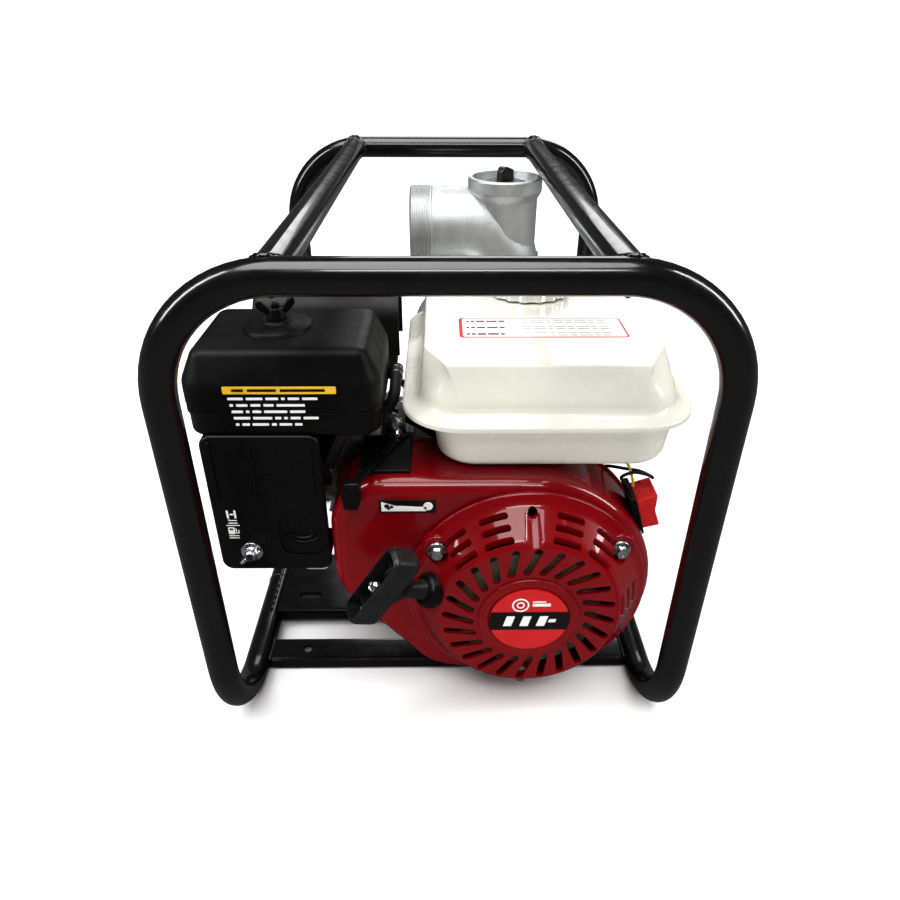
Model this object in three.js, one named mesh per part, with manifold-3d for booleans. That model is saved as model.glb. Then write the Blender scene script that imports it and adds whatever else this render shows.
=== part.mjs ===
// Engine-driven 3-inch water pump set in a tube frame: millimetres, +Z up, the frame stands on Z = 0.
// The recoil starter faces -Y, the pump end +Y, and +X is to the right as the starter is seen.
import * as THREE from 'three';
import { mergeVertices } from 'three/addons/utils/BufferGeometryUtils.js';
import Module from 'manifold-3d';

const wasm = await Module();
wasm.setup();

// ---------------------------------------------------------------- driving dimensions
const GAP = 0.3;

const TUBE_RADIUS = 12;
const FRAME_HALF_WIDTH = 191;
const FRAME_HALF_LENGTH = 265;
const FRAME_TOP = 432;
const FRAME_CORNER_FRONT = 85;
const FRAME_CORNER_REAR = 89;
const FRAME_FOOT_BEND = 83;
const FRAME_JOINT_Y = -65;
const TOP_RAIL_X = 110.5;

const CRANK_X = 68;
const CRANK_Z = 132;
const PTO_FACE_Y = 4;
const ENGINE_BASE = -108;
const CYLINDER_TILT = THREE.MathUtils.degToRad(-65);
const CYLINDER_Y = -92;
const CYLINDER_BORE = 34;
const CRANK_THROW = 27;
const ROD_LENGTH = 84;
const DECK = 130;
const HEAD_TOP = 200;

const SHROUD_FRONT = -214;
const SHROUD_BACK = -144;
const SHROUD_RADIUS = 113;
const SHROUD_TOP = 113.5;
const SHROUD_LEFT = -168;
const SHEET = 3;

const RECOIL_FRONT = -250;
const RECOIL_FACE_RADIUS = 78;
const RECOIL_RIM_RADIUS = 100;
const RECOIL_BOLT_RADIUS = 94;
const EMBLEM_RADIUS = 34;
const REEL_Y = -235;
const REEL_GROOVE = 51;
const GRIP_BACK = 33;
const GRIP_FACE = 57;

const TANK_LEFT = -106;
const TANK_RIGHT = 135;
const TANK_FRONT = -211;
const TANK_BACK = 62;
const TANK_SUMP_BACK = 22;
const TANK_BOTTOM = 114.5;
const TANK_SEAM = 160;
const TANK_TOP = 203;
const TANK_CORNER = 50;
const TANK_REAR_CORNER = 40;
const TANK_LIP = 12;
const TANK_SHELL = 2.5;
const FILLER_X = 13;
const FILLER_Y = -4;
const CAP_RADIUS = 41;
const TANK_SUMP_LEFT = 12;
const TANK_OUTLET_X = -55;
const TANK_OUTLET_Y = -110;

const CLEANER_LEFT = -270;
const CLEANER_RIGHT = -121;
const CLEANER_FRONT = -203;
const CLEANER_BACK = -84;
const CLEANER_BASE = 150.5;
const CLEANER_SPLIT = 172;
const CLEANER_TOP = 220;
const CLEANER_BOSS = 6.5;
const CLEANER_STUD_X = -206;
const CLEANER_STUD_Y = -142;

const CARB_X = -206;
const CARB_Y = -171;
const CARB_Z = 72;

const PUMP_TOP = 150;
const PUMP_BACK = 205;
const PUMP_HALF_WIDTH = 108;
const PUMP_WALL = 7;
const PORT_Y = 151;
const PORT_RADIUS = 33;
const OUTLET_Z = 231;
const OUTLET_END = -108;
const ELBOW_RADIUS = 48;
const ELBOW_PIPE = 42.5;
const PIPE_RADIUS = 37.5;
const PIPE_COLLAR = 44;
const DRAIN_Z = -86;
const SUCTION_Z = 60;
const IMPELLER_RADIUS = 70;

// ---------------------------------------------------------------- solids
function toSolid(geometry) {
  const bare = new THREE.BufferGeometry();
  bare.setAttribute('position', geometry.getAttribute('position').clone());
  if (geometry.index) {
    bare.setIndex(geometry.index.clone());
  }
  const merged = mergeVertices(bare, 1e-4);
  const position = merged.getAttribute('position');
  const index = merged.index.array;
  const triangles = [];
  const corner = [0, 1, 2].map(() => new THREE.Vector3());
  let volume = 0;
  for (let i = 0; i < index.length; i += 3) {
    const [a, b, c] = [index[i], index[i + 1], index[i + 2]];
    if (a === b || b === c || c === a) {
      continue;
    }
    triangles.push([a, b, c]);
    [a, b, c].forEach((vertex, k) => corner[k].fromBufferAttribute(position, vertex));
    volume += corner[0].dot(corner[1].cross(corner[2]));
  }
  if (volume < 0) {
    triangles.forEach((triangle) => triangle.reverse());
  }
  const mesh = new wasm.Mesh({
    numProp: 3,
    vertProperties: Float32Array.from(position.array),
    triVerts: Uint32Array.from(triangles.flat()),
  });
  return new wasm.Manifold(mesh);
}

function toGeometry(solid) {
  const mesh = solid.getMesh();
  const geometry = new THREE.BufferGeometry();
  geometry.setAttribute('position', new THREE.BufferAttribute(mesh.vertProperties, 3));
  geometry.setIndex(new THREE.BufferAttribute(mesh.triVerts, 1));
  geometry.computeVertexNormals();
  return geometry;
}

function asSolid(shape) {
  return shape instanceof THREE.BufferGeometry ? toSolid(shape) : shape;
}

function join(...shapes) {
  return shapes.map(asSolid).reduce((whole, shape) => whole.add(shape));
}

function cut(base, ...tools) {
  return tools.map(asSolid).reduce((whole, tool) => whole.subtract(tool), asSolid(base));
}

function box(x0, x1, y0, y1, z0, z1) {
  const geometry = new THREE.BoxGeometry(x1 - x0, y1 - y0, z1 - z0);
  return geometry.translate((x0 + x1) / 2, (y0 + y1) / 2, (z0 + z1) / 2);
}

// A lathe turned about the given axis; the profile is [radius, place along the axis] pairs.
function turned(axis, profile, sides = 24) {
  const points = profile.map(([radius, place]) => new THREE.Vector2(radius, place));
  const geometry = new THREE.LatheGeometry(points, sides);
  if (axis === 'x') {
    geometry.rotateZ(-Math.PI / 2);
  }
  if (axis === 'z') {
    geometry.rotateX(Math.PI / 2);
  }
  return geometry;
}

function rod(axis, radius, from, to, sides = 16) {
  return turned(axis, [[0, from], [radius, from], [radius, to], [0, to]], sides);
}

function pipe(axis, outer, inner, from, to, sides = 24) {
  return turned(axis, [[inner, from], [outer, from], [outer, to], [inner, to], [inner, from]], sides);
}

const PRISM_AXES = {
  x: [[0, 1, 0], [0, 0, 1], [1, 0, 0]],
  y: [[1, 0, 0], [0, 0, 1], [0, -1, 0]],
  z: [[1, 0, 0], [0, 1, 0], [0, 0, 1]],
};

// Extrudes an outline along an axis; the outline lies in YZ, XZ or XY, seen with the first letter right.
function prism(axis, shape, from, to, options = {}) {
  const settings = { depth: to - from, bevelEnabled: false, curveSegments: 4, ...options };
  const geometry = new THREE.ExtrudeGeometry(shape, settings);
  if (axis === 'y') {
    geometry.translate(0, 0, -to);
  } else {
    geometry.translate(0, 0, from);
  }
  const [right, up, along] = PRISM_AXES[axis].map((v) => new THREE.Vector3(...v));
  return geometry.applyMatrix4(new THREE.Matrix4().makeBasis(right, up, along));
}

function outline(points) {
  return new THREE.Shape(points.map(([u, v]) => new THREE.Vector2(u, v)));
}

function roundedRect(u0, u1, v0, v1, radius) {
  const shape = new THREE.Shape();
  shape.moveTo(u0 + radius, v0);
  shape.lineTo(u1 - radius, v0);
  shape.absarc(u1 - radius, v0 + radius, radius, -Math.PI / 2, 0);
  shape.lineTo(u1, v1 - radius);
  shape.absarc(u1 - radius, v1 - radius, radius, 0, Math.PI / 2);
  shape.lineTo(u0 + radius, v1);
  shape.absarc(u0 + radius, v1 - radius, radius, Math.PI / 2, Math.PI);
  shape.lineTo(u0, v0 + radius);
  shape.absarc(u0 + radius, v0 + radius, radius, Math.PI, Math.PI * 1.5);
  return shape;
}

function hexagon(acrossFlats) {
  const radius = acrossFlats / Math.sqrt(3);
  const corners = [0, 1, 2, 3, 4, 5].map((k) => (k * Math.PI) / 3);
  return outline(corners.map((angle) => [radius * Math.cos(angle), radius * Math.sin(angle)]));
}

// A path through given points, stepped point by point, so that straight stretches stay straight.
class PointPath extends THREE.Curve {
  constructor(points) {
    super();
    this.points = points;
  }

  getPoint(t, target = new THREE.Vector3()) {
    const place = t * (this.points.length - 1);
    const index = Math.min(Math.floor(place), this.points.length - 2);
    return target.lerpVectors(this.points[index], this.points[index + 1], place - index);
  }

  getUtoTmapping(u) {
    return u;
  }
}

function tube(points, radius, sides = 12) {
  const angles = Array.from({ length: sides }, (_, k) => (2 * Math.PI * k) / sides);
  const section = outline(angles.map((angle) => [radius * Math.cos(angle), radius * Math.sin(angle)]));
  const path = new PointPath(points);
  return new THREE.ExtrudeGeometry(section, { steps: points.length - 1, extrudePath: path });
}

function smoothTube(points, radius, steps, sides = 8) {
  const curve = new THREE.CatmullRomCurve3(points.map((p) => new THREE.Vector3(...p)));
  return tube(curve.getPoints(steps), radius, sides);
}

function arcPoints(centre, first, second, radius, steps) {
  return Array.from({ length: steps + 1 }, (_, k) => {
    const angle = (k / steps) * (Math.PI / 2);
    const point = new THREE.Vector3(...centre);
    point.addScaledVector(new THREE.Vector3(...first), radius * Math.cos(angle));
    return point.addScaledVector(new THREE.Vector3(...second), radius * Math.sin(angle));
  });
}

// ---------------------------------------------------------------- finishes and nodes
const FINISH = {
  blackPaint: ['#0c0c0d', 0.28, 0.0],
  redPaint: ['#8f0a14', 0.22, 0.0],
  whitePaint: ['#ece9de', 0.25, 0.0],
  blackPlastic: ['#141415', 0.5, 0.0],
  redPlastic: ['#c3121c', 0.3, 0.0],
  castAluminium: ['#b9bab8', 0.5, 0.85],
  castIron: ['#55565a', 0.6, 0.9],
  steel: ['#9a9b9d', 0.35, 1.0],
  zinc: ['#c9cbc9', 0.3, 1.0],
  chrome: ['#dcdde0', 0.12, 1.0],
  rubber: ['#1a1a1b', 0.8, 0.0],
  foam: ['#4a4b48', 0.95, 0.0],
  rope: ['#1f2021', 0.9, 0.0],
};

function addNode(parent, name, shape, finish) {
  const [color, roughness, metalness] = FINISH[finish];
  const material = new THREE.MeshStandardMaterial({ color, roughness, metalness });
  const mesh = new THREE.Mesh(toGeometry(asSolid(shape)), material);
  mesh.name = name;
  parent.add(mesh);
  return mesh;
}

const group = new THREE.Group();

// ---------------------------------------------------------------- tube frame
function frameLoop(side, radius = TUBE_RADIUS) {
  const corner = side < 0 ? FRAME_CORNER_FRONT : FRAME_CORNER_REAR;
  const jointY = FRAME_JOINT_Y + (side * GAP) / 2;
  const [width, end] = [FRAME_HALF_WIDTH, side * FRAME_HALF_LENGTH];
  const footY = side * (FRAME_HALF_LENGTH - FRAME_FOOT_BEND);
  const footZ = TUBE_RADIUS + FRAME_FOOT_BEND;
  const cornerZ = FRAME_TOP - corner;
  const half = (x) => [
    new THREE.Vector3(x * width, jointY, TUBE_RADIUS),
    ...arcPoints([x * width, footY, footZ], [0, 0, -1], [0, side, 0], FRAME_FOOT_BEND, 5),
    ...arcPoints([x * (width - corner), end, cornerZ], [x, 0, 0], [0, 0, 1], corner, 6),
  ];
  return tube([...half(-1), ...half(1).reverse()], radius, 12);
}

function topRail(x) {
  const rail = rod('y', TUBE_RADIUS, -FRAME_HALF_LENGTH, FRAME_HALF_LENGTH, 10);
  rail.translate(x, 0, FRAME_TOP);
  return cut(rail, ...[-1, 1].map((side) => frameLoop(side, TUBE_RADIUS + GAP)));
}

function crossmember(y0, y1, bottom, top, ...tools) {
  const wall = 3;
  const section = outline([
    [y0, bottom], [y0 + wall, bottom], [y0 + wall, top - wall], [y1 - wall, top - wall],
    [y1 - wall, bottom], [y1, bottom], [y1, top], [y0, top],
  ]);
  const channel = prism('x', section, -FRAME_HALF_WIDTH, FRAME_HALF_WIDTH);
  const rails = [-1, 1].map((side) => {
    const rail = rod('y', TUBE_RADIUS + GAP, y0 - 5, y1 + 5, 18);
    return rail.translate(side * FRAME_HALF_WIDTH, 0, TUBE_RADIUS);
  });
  const overhang = [-1, 1].map((side) => {
    const [inner, outer] = [side * (FRAME_HALF_WIDTH - 9), side * (FRAME_HALF_WIDTH + 9)];
    return box(Math.min(inner, outer), Math.max(inner, outer), y0 - 5, y1 + 5, bottom - 1, top + 1);
  });
  return cut(channel, ...rails, ...overhang, ...tools);
}

const PLATE_TOP = CRANK_Z + ENGINE_BASE - GAP;
const boltHole = (x, y) => rod('z', 4.5, 0, 40, 10).translate(x, y, 0);

addNode(group, 'frame_front', frameLoop(-1), 'blackPaint');
addNode(group, 'frame_rear', frameLoop(1), 'blackPaint');
addNode(group, 'top_rail_left', topRail(-TOP_RAIL_X), 'blackPaint');
addNode(group, 'top_rail_right', topRail(TOP_RAIL_X), 'blackPaint');
addNode(group, 'crossmember_front', crossmember(-183, -153, 3, 14, boltHole(-143, -168)), 'blackPaint');
const plateSlots = [-81, 81].flatMap((x) => [-113, -42].map((y) => boltHole(CRANK_X + x, y)));
addNode(group, 'engine_plate', crossmember(-123, -28, 11, PLATE_TOP, ...plateSlots), 'blackPaint');
addNode(group, 'crossmember_rear', crossmember(108, 178, 11, PLATE_TOP), 'blackPaint');

// ---------------------------------------------------------------- engine: block, crank train
const engine = new THREE.Group();
engine.position.set(CRANK_X, PTO_FACE_Y, CRANK_Z);
group.add(engine);

const cylinder = new THREE.Group();
cylinder.rotation.y = CYLINDER_TILT;
engine.add(cylinder);

const CASE_OUTLINE = outline([
  [-92, ENGINE_BASE], [92, ENGINE_BASE], [92, -97], [78, -93], [77, 20], [50, 62], [-20, 78], [-60, 66],
  [-78, 10], [-78, -93], [-92, -97],
]);
const SUMP = roundedRect(-69, 69, -98, 20, 12);
const SHAFT_AXIS = new THREE.Vector3(0, 1, 0);
const CASE_FRONT = -140;
const CASE_SPLIT = -40;

function crankcase() {
  const body = prism('y', CASE_OUTLINE, CASE_FRONT, CASE_SPLIT);
  const barrel = rod('z', 46, 40, DECK, 18).translate(0, CYLINDER_Y, 0).rotateY(CYLINDER_TILT);
  const fins = [78, 92, 106, 120].map((place) => {
    return box(-50, 50, CYLINDER_Y - 47, CYLINDER_Y + 47, place, place + 3).rotateY(CYLINDER_TILT);
  });
  const boss = rod('y', 36, CASE_FRONT, -122.6, 18);
  const bore = rod('z', CYLINDER_BORE, 30, DECK + 5, 22).translate(0, CYLINDER_Y, 0);
  const hollow = cut(
    join(rod('y', 56, -132, CASE_SPLIT + 5, 18), prism('y', SUMP, -132, CASE_SPLIT + 5)),
    boss,
  );
  return cut(
    join(body, barrel, ...fins),
    hollow,
    bore.rotateY(CYLINDER_TILT),
    rod('y', 12.9, CASE_FRONT - 5, -120, 14),
    rod('x', 9, 60, 100, 12).translate(0, -62, -78),
    rod('x', 7, -100, -60, 12).translate(0, -110, -88),
  );
}

function crankcaseCover() {
  const shell = join(
    prism('y', CASE_OUTLINE, CASE_SPLIT + GAP, -6),
    rod('y', 62, -10, 0, 22),
  );
  const hollow = cut(prism('y', SUMP, CASE_SPLIT - 5, -12), rod('y', 36, -31, 0, 18));
  return cut(shell, hollow, rod('y', 12.9, CASE_SPLIT, 5, 14));
}

function crankshaft() {
  const toPin = new THREE.Vector3(0, 0, CRANK_THROW).applyAxisAngle(SHAFT_AXIS, CYLINDER_TILT);
  const pin = rod('y', 15, -110, -74, 12).translate(toPin.x, 0, toPin.z);
  const shaft = turned('y', [
    [0, -222], [8, -222], [8, -206], [11, -204], [12.5, -160], [12.5, -122], [42, -122], [42, -106], [0, -106],
  ], 16);
  const output = turned('y', [
    [0, -78], [42, -78], [42, -62], [17.5, -62], [17.5, -52], [12.5, -52], [12.5, 0], [10, 2], [10, 52],
    [7, 54], [7, 78], [0, 78],
  ], 16);
  return join(shaft, pin, output, prism('y', hexagon(24), -217, -208.8));
}

function camshaft() {
  return turned('y', [
    [0, -129], [6, -129], [6, -112], [9, -112], [9, -100], [6, -100], [6, -88], [9, -88], [9, -76],
    [6, -76], [6, -60], [35, -60], [35, -53], [9, -53], [9, -44], [0, -44],
  ], 14).translate(30, 0, -43.8);
}

function piston() {
  const crown = DECK - 0.7;
  const blank = rod('z', CYLINDER_BORE - 0.5, crown - 42, crown, 22);
  const hollow = rod('z', 29, crown - 43, crown - 6, 18);
  const bosses = [[-30, -13], [13, 30]].map(([y0, y1]) => {
    return rod('y', 13, y0, y1, 12).translate(0, 0, CRANK_THROW + ROD_LENGTH);
  });
  const pin = rod('y', 8, -31, 31, 12).translate(0, 0, CRANK_THROW + ROD_LENGTH);
  return join(cut(blank, hollow), ...bosses, pin).intersect(asSolid(blank));
}

function connectingRod() {
  const smallEnd = CRANK_THROW + ROD_LENGTH;
  const body = join(
    rod('y', 24, -13, 13, 18).translate(0, 0, CRANK_THROW),
    rod('y', 11.6, -11, 11, 14).translate(0, 0, smallEnd),
    box(-8, 8, -7, 7, CRANK_THROW + 10, smallEnd - 5),
  );
  return cut(
    body,
    rod('y', 16.5, -20, 20, 18).translate(0, 0, CRANK_THROW),
    rod('y', 9, -20, 20, 14).translate(0, 0, smallEnd),
  );
}

function flywheel() {
  const disc = turned('y', [
    [12.9, -203], [24, -203], [24, -190], [80, -186], [80, -204], [92, -204], [92, -162], [84, -162],
    [84, -176], [26, -178], [26, -161], [12.9, -161], [12.9, -203],
  ], 22);
  const vanes = Array.from({ length: 8 }, (_, k) => {
    return box(50, 82, -203, -184, -1.6, 1.6).rotateY((k * Math.PI) / 4);
  });
  return join(disc, ...vanes);
}

addNode(engine, 'crankcase', crankcase(), 'castIron');
addNode(engine, 'crankcase_cover', crankcaseCover(), 'castIron');
addNode(engine, 'crankshaft', crankshaft(), 'steel');
addNode(engine, 'camshaft', camshaft(), 'steel');
addNode(engine, 'flywheel', flywheel(), 'castIron');

const rodSet = new THREE.Group();
rodSet.position.y = CYLINDER_Y;
cylinder.add(rodSet);
addNode(rodSet, 'piston', piston(), 'castAluminium');
addNode(rodSet, 'connecting_rod', connectingRod(), 'steel');

// ---------------------------------------------------------------- cylinder head
function cylinderHead() {
  const core = prism('z', roundedRect(-44, 44, CYLINDER_Y - 42, CYLINDER_Y + 42, 12), DECK + GAP, HEAD_TOP);
  const fins = [133, 150, 167, 184].map((place) => {
    return box(-52, 52, CYLINDER_Y - 48, CYLINDER_Y + 48, place, place + 4);
  });
  const intake = box(-45, -2, -140, -128, 188, 239);
  const chamber = rod('z', 30, DECK - 5, DECK + 12, 18).translate(0, CYLINDER_Y, 0);
  const exhaust = rod('y', 13, -60, -30, 12).translate(10, 0, 165);
  const plugHole = rod('z', 7.3, HEAD_TOP - 22, HEAD_TOP + 5, 12).translate(18, -56, 0);
  const intakePort = rod('y', 11, -145, -120, 12).translate(-22, 0, 217);
  return cut(join(core, ...fins, intake), chamber, exhaust, plugHole, intakePort);
}

function rockerCover() {
  const shell = prism('z', roundedRect(-38, 40, -131, -72, 14), HEAD_TOP + GAP, 234);
  const flange = prism('z', roundedRect(-43, 45, -136, -67, 16), HEAD_TOP + GAP, HEAD_TOP + 5);
  const hollow = prism('z', roundedRect(-35, 37, -128, -75, 12), HEAD_TOP - 5, 231);
  const intakeSpace = box(-60, -1, -145, -127.5, 185, 242);
  return cut(join(shell, flange), hollow, intakeSpace);
}

function sparkPlug() {
  const shell = turned('z', [
    [0, HEAD_TOP - 20], [6.5, HEAD_TOP - 20], [6.5, HEAD_TOP], [11, HEAD_TOP + 0.5], [11, HEAD_TOP + 9],
    [7, HEAD_TOP + 11], [6, HEAD_TOP + 30], [3.5, HEAD_TOP + 32], [3.5, HEAD_TOP + 40], [0, HEAD_TOP + 40],
  ], 12);
  return shell.translate(18, -56, 0);
}

function sparkPlugCap() {
  const boot = turned('z', [
    [8, HEAD_TOP + 12], [10.5, HEAD_TOP + 12], [11, HEAD_TOP + 40], [9, HEAD_TOP + 52], [0, HEAD_TOP + 52],
    [0, HEAD_TOP + 41], [5, HEAD_TOP + 41], [8, HEAD_TOP + 33], [8, HEAD_TOP + 12],
  ], 12);
  return boot.translate(18, -56, 0);
}

addNode(cylinder, 'cylinder_head', cylinderHead(), 'castAluminium');
addNode(cylinder, 'rocker_cover', rockerCover(), 'castAluminium');
addNode(cylinder, 'spark_plug', sparkPlug(), 'zinc');
addNode(cylinder, 'spark_plug_cap', sparkPlugCap(), 'rubber');

// ---------------------------------------------------------------- fan housing and recoil starter
function shroudOutline() {
  const shape = new THREE.Shape();
  shape.absarc(0, 0, SHROUD_RADIUS, -1.886, 1.5, false);
  shape.lineTo(-20, SHROUD_TOP);
  shape.lineTo(-118, SHROUD_TOP);
  shape.absarc(-118, SHROUD_TOP - 50, 50, Math.PI / 2, Math.PI, false);
  shape.lineTo(SHROUD_LEFT, 20);
  shape.absarc(SHROUD_LEFT + 60, 20, 60, Math.PI, Math.PI * 1.22, false);
  shape.lineTo(-94, -90);
  shape.quadraticCurveTo(-78, -107, -35, -107.4);
  return shape;
}

function fanHousing() {
  const [soft, innerSoft] = [14, 12];
  const shell = prism('y', shroudOutline(), SHROUD_FRONT + soft, SHROUD_BACK + 20, {
    bevelEnabled: true, bevelThickness: soft, bevelSize: soft, bevelOffset: -soft, bevelSegments: 2,
    curveSegments: 10,
  });
  const hollow = prism('y', shroudOutline(), SHROUD_FRONT + innerSoft + SHEET, SHROUD_BACK + 30, {
    bevelEnabled: true, bevelThickness: innerSoft, bevelSize: innerSoft, bevelOffset: -innerSoft - SHEET,
    bevelSegments: 1, curveSegments: 6,
  });
  const behind = box(-200, 200, SHROUD_BACK, SHROUD_BACK + 60, -150, 150);
  return cut(shell, hollow, behind, rod('y', 88, SHROUD_FRONT - 5, SHROUD_FRONT + 8, 28));
}

const PULL = new THREE.Vector3(-0.789, -0.413, 0.451).normalize();
const EYELET = new THREE.Vector3(-86, -241, 24);
const GRIP = new THREE.Vector3(0.655, 0, 0.756);
GRIP.addScaledVector(PULL, -GRIP.dot(PULL)).normalize();

const handleGroup = new THREE.Group();
handleGroup.position.copy(EYELET);
const across = new THREE.Vector3().crossVectors(PULL, GRIP);
handleGroup.quaternion.setFromRotationMatrix(new THREE.Matrix4().makeBasis(GRIP, across, PULL));
engine.add(handleGroup);
handleGroup.updateMatrix();

function recoilHousing() {
  const profile = [
    [0, RECOIL_FRONT], [RECOIL_FACE_RADIUS - 6, RECOIL_FRONT], [RECOIL_FACE_RADIUS, RECOIL_FRONT + 3],
    [RECOIL_RIM_RADIUS - 1, -219], [106, -218], [106, SHROUD_FRONT - GAP],
    [96, SHROUD_FRONT - GAP], [93, -220], [73, RECOIL_FRONT + 3.5],
    [8, RECOIL_FRONT + 3.5], [8, -224], [0, -224],
  ];
  const spokeSlots = Array.from({ length: 24 }, (_, k) => {
    const slot = box(47, 73, RECOIL_FRONT - 5, RECOIL_FRONT + 8, -3.2, 3.2);
    slot.translate(-60, 0, 0).rotateY(0.38).translate(60, 0, 0);
    return slot.rotateY((k * Math.PI) / 12);
  });
  const arcSlots = [5, 47, 70, 110, 133].flatMap((degrees) => [0, 1, 2].map((row) => {
    const reach = 82.5 + row * 5.6;
    const place = -247 + row * 8.4;
    const slot = box(reach - 8, reach + 12, place, place + 4.6, -12.5, 12.5);
    return slot.rotateY(-THREE.MathUtils.degToRad(degrees));
  }));
  const ropeExit = rod('z', 9, -30, 12, 12).applyMatrix4(handleGroup.matrix);
  const bolts = [35, 145.5, 270].map((degrees) => {
    const hole = rod('y', 3.3, -235, -200, 12).translate(RECOIL_BOLT_RADIUS, 0, 0);
    return hole.rotateY(-THREE.MathUtils.degToRad(degrees));
  });
  const ring = pipe('y', 43, EMBLEM_RADIUS + GAP, RECOIL_FRONT - 2, RECOIL_FRONT + 2, 24);
  return cut(join(turned('y', profile, 30), ring), ...spokeSlots, ...arcSlots, ropeExit, ...bolts);
}

function starterReel() {
  return turned('y', [
    [8.4, REEL_Y - 7], [62, REEL_Y - 7], [62, REEL_Y - 5], [REEL_GROOVE, REEL_Y - 3.5],
    [REEL_GROOVE, REEL_Y + 3.5], [62, REEL_Y + 5], [62, REEL_Y + 7], [8.4, REEL_Y + 7], [8.4, REEL_Y - 7],
  ], 22);
}

function starterRope() {
  const reach = Math.hypot(EYELET.x, EYELET.z);
  const contact = REEL_GROOVE + 2.4;
  const angle = Math.atan2(EYELET.z, EYELET.x) + Math.acos(contact / reach);
  const leave = new THREE.Vector3(contact * Math.cos(angle), REEL_Y, contact * Math.sin(angle));
  const end = EYELET.clone().addScaledVector(PULL, GRIP_FACE - 10);
  const turn = [-9, -6, -3, 0, 3].map((step) => EYELET.clone().addScaledVector(PULL, step));
  const knot = new THREE.SphereGeometry(4.5, 12, 8).translate(end.x, end.y, end.z);
  return join(tube([leave, ...turn, end], 2, 8), knot);
}

function starterHandle() {
  const soft = 3;
  const grip = prism('z', roundedRect(-41, 41, -12, 12, 9), GRIP_BACK + soft, GRIP_FACE - soft, {
    bevelEnabled: true, bevelThickness: soft, bevelSize: soft, bevelOffset: -soft, bevelSegments: 1,
    curveSegments: 3,
  });
  const stem = turned('z', [
    [0, 1], [9, 1], [10, 4], [7.5, 12], [8, GRIP_BACK - 5], [14, GRIP_BACK + 4], [0, GRIP_BACK + 4],
  ], 12);
  const recess = prism('z', roundedRect(-36, 36, -8, 8, 6), GRIP_FACE - 15, GRIP_FACE + 5);
  return cut(join(grip, stem), recess, rod('z', 2.6, -5, GRIP_FACE, 12));
}

const emblem = rod('y', EMBLEM_RADIUS, RECOIL_FRONT - 3.3, RECOIL_FRONT - GAP, 28);
addNode(engine, 'fan_housing', fanHousing(), 'redPaint');
addNode(engine, 'recoil_housing', recoilHousing(), 'redPaint');
addNode(engine, 'recoil_emblem', emblem, 'redPlastic');
addNode(engine, 'starter_reel', starterReel(), 'blackPlastic');
addNode(engine, 'starter_rope', starterRope(), 'rope');
addNode(handleGroup, 'rope_guide', pipe('z', 8.6, 3, -8, 0.5, 12), 'blackPlastic');
addNode(handleGroup, 'starter_handle', starterHandle(), 'blackPlastic');

function starterCup() {
  const cup = turned('y', [
    [8.5, -205.9], [37, -205.9], [39, -222], [36.5, -222], [35, -208.5], [8.5, -208.5], [8.5, -205.9],
  ], 22);
  const windows = Array.from({ length: 6 }, (_, k) => {
    return box(20, 60, -219, -212, -4, 4).rotateY((k * Math.PI) / 3);
  });
  return cut(cup, ...windows);
}

addNode(engine, 'starter_cup', starterCup(), 'steel');

function ignitionCoil() {
  return join(box(93, 104, -190, -174, -16, 16), box(94, 106, -197, -167, -9, 9));
}

const coilGroup = new THREE.Group();
coilGroup.rotation.y = -THREE.MathUtils.degToRad(58);
engine.add(coilGroup);
addNode(coilGroup, 'ignition_coil', ignitionCoil(), 'blackPlastic');

function ignitionLead() {
  const boot = new THREE.Vector3(18, -56, HEAD_TOP + 53).applyAxisAngle(SHAFT_AXIS, CYLINDER_TILT);
  const out = new THREE.Vector3(0, 0, 1).applyAxisAngle(SHAFT_AXIS, CYLINDER_TILT);
  const turn = boot.clone().addScaledVector(out, 8);
  return smoothTube([
    boot.toArray(), turn.toArray(), [-240, -66, 142], [-205, -62, 147], [-130, -60, 143], [-104, -74, 124],
    [-93, -104, 121], [-78, -124, 109], [-45, -125, 100], [0, -128, 100], [34, -141, 94], [50, -157, 87], [53, -165, 84.8],
  ], 3.2, 24, 8);
}
addNode(engine, 'ignition_lead', ignitionLead(), 'rubber');

// ---------------------------------------------------------------- engine switch, throttle
const SWITCH_X = 97;
const SWITCH_Z = 69;
const SWITCH_TURN = THREE.MathUtils.degToRad(18);
const ROCKER_PIVOT = -0.1;
const switchGroup = new THREE.Group();
switchGroup.position.set(SWITCH_X, -184, SWITCH_Z);
switchGroup.rotation.y = -SWITCH_TURN;
engine.add(switchGroup);

function switchBody() {
  const body = prism('y', roundedRect(-6, 3, -21, 21, 2.5), -17, 17);
  const drum = rod('y', SHROUD_RADIUS + GAP, -60, 60, 36).translate(-SWITCH_X, 0, -SWITCH_Z);
  drum.rotateY(SWITCH_TURN);
  const well = box(-0.5, 20, -15, 15, -16.5, 16.5);
  return cut(body, drum, well);
}

function switchRocker() {
  const side = [[0, -1], [3.4, -14.6], [15, -15.4], [14, 0], [19, 15.4], [3.4, 14.6], [0, 1]];
  return prism('y', outline(side), -14.5, 14.5);
}

addNode(switchGroup, 'engine_switch', switchBody(), 'blackPlastic');
const rockerGroup = new THREE.Group();
rockerGroup.position.set(ROCKER_PIVOT, 0, 0);
switchGroup.add(rockerGroup);
addNode(rockerGroup, 'switch_rocker', switchRocker(), 'redPlastic');

const THROTTLE_X = -112;
const THROTTLE_Y = -150;

function controlBracket() {
  const base = box(-142, -99, -200, -142, SHROUD_TOP + 1, SHROUD_TOP + 3.5);
  const tab = box(-124, -121.5, -160, -142.5, SHROUD_TOP + 1, 148);
  const pin = rod('z', 3, SHROUD_TOP + 1, SHROUD_TOP + 12, 10).translate(THROTTLE_X, THROTTLE_Y, 0);
  const hole = rod('x', 3, -130, -115, 10).translate(0, -149, 138);
  return cut(join(base, tab, pin), hole);
}

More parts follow.
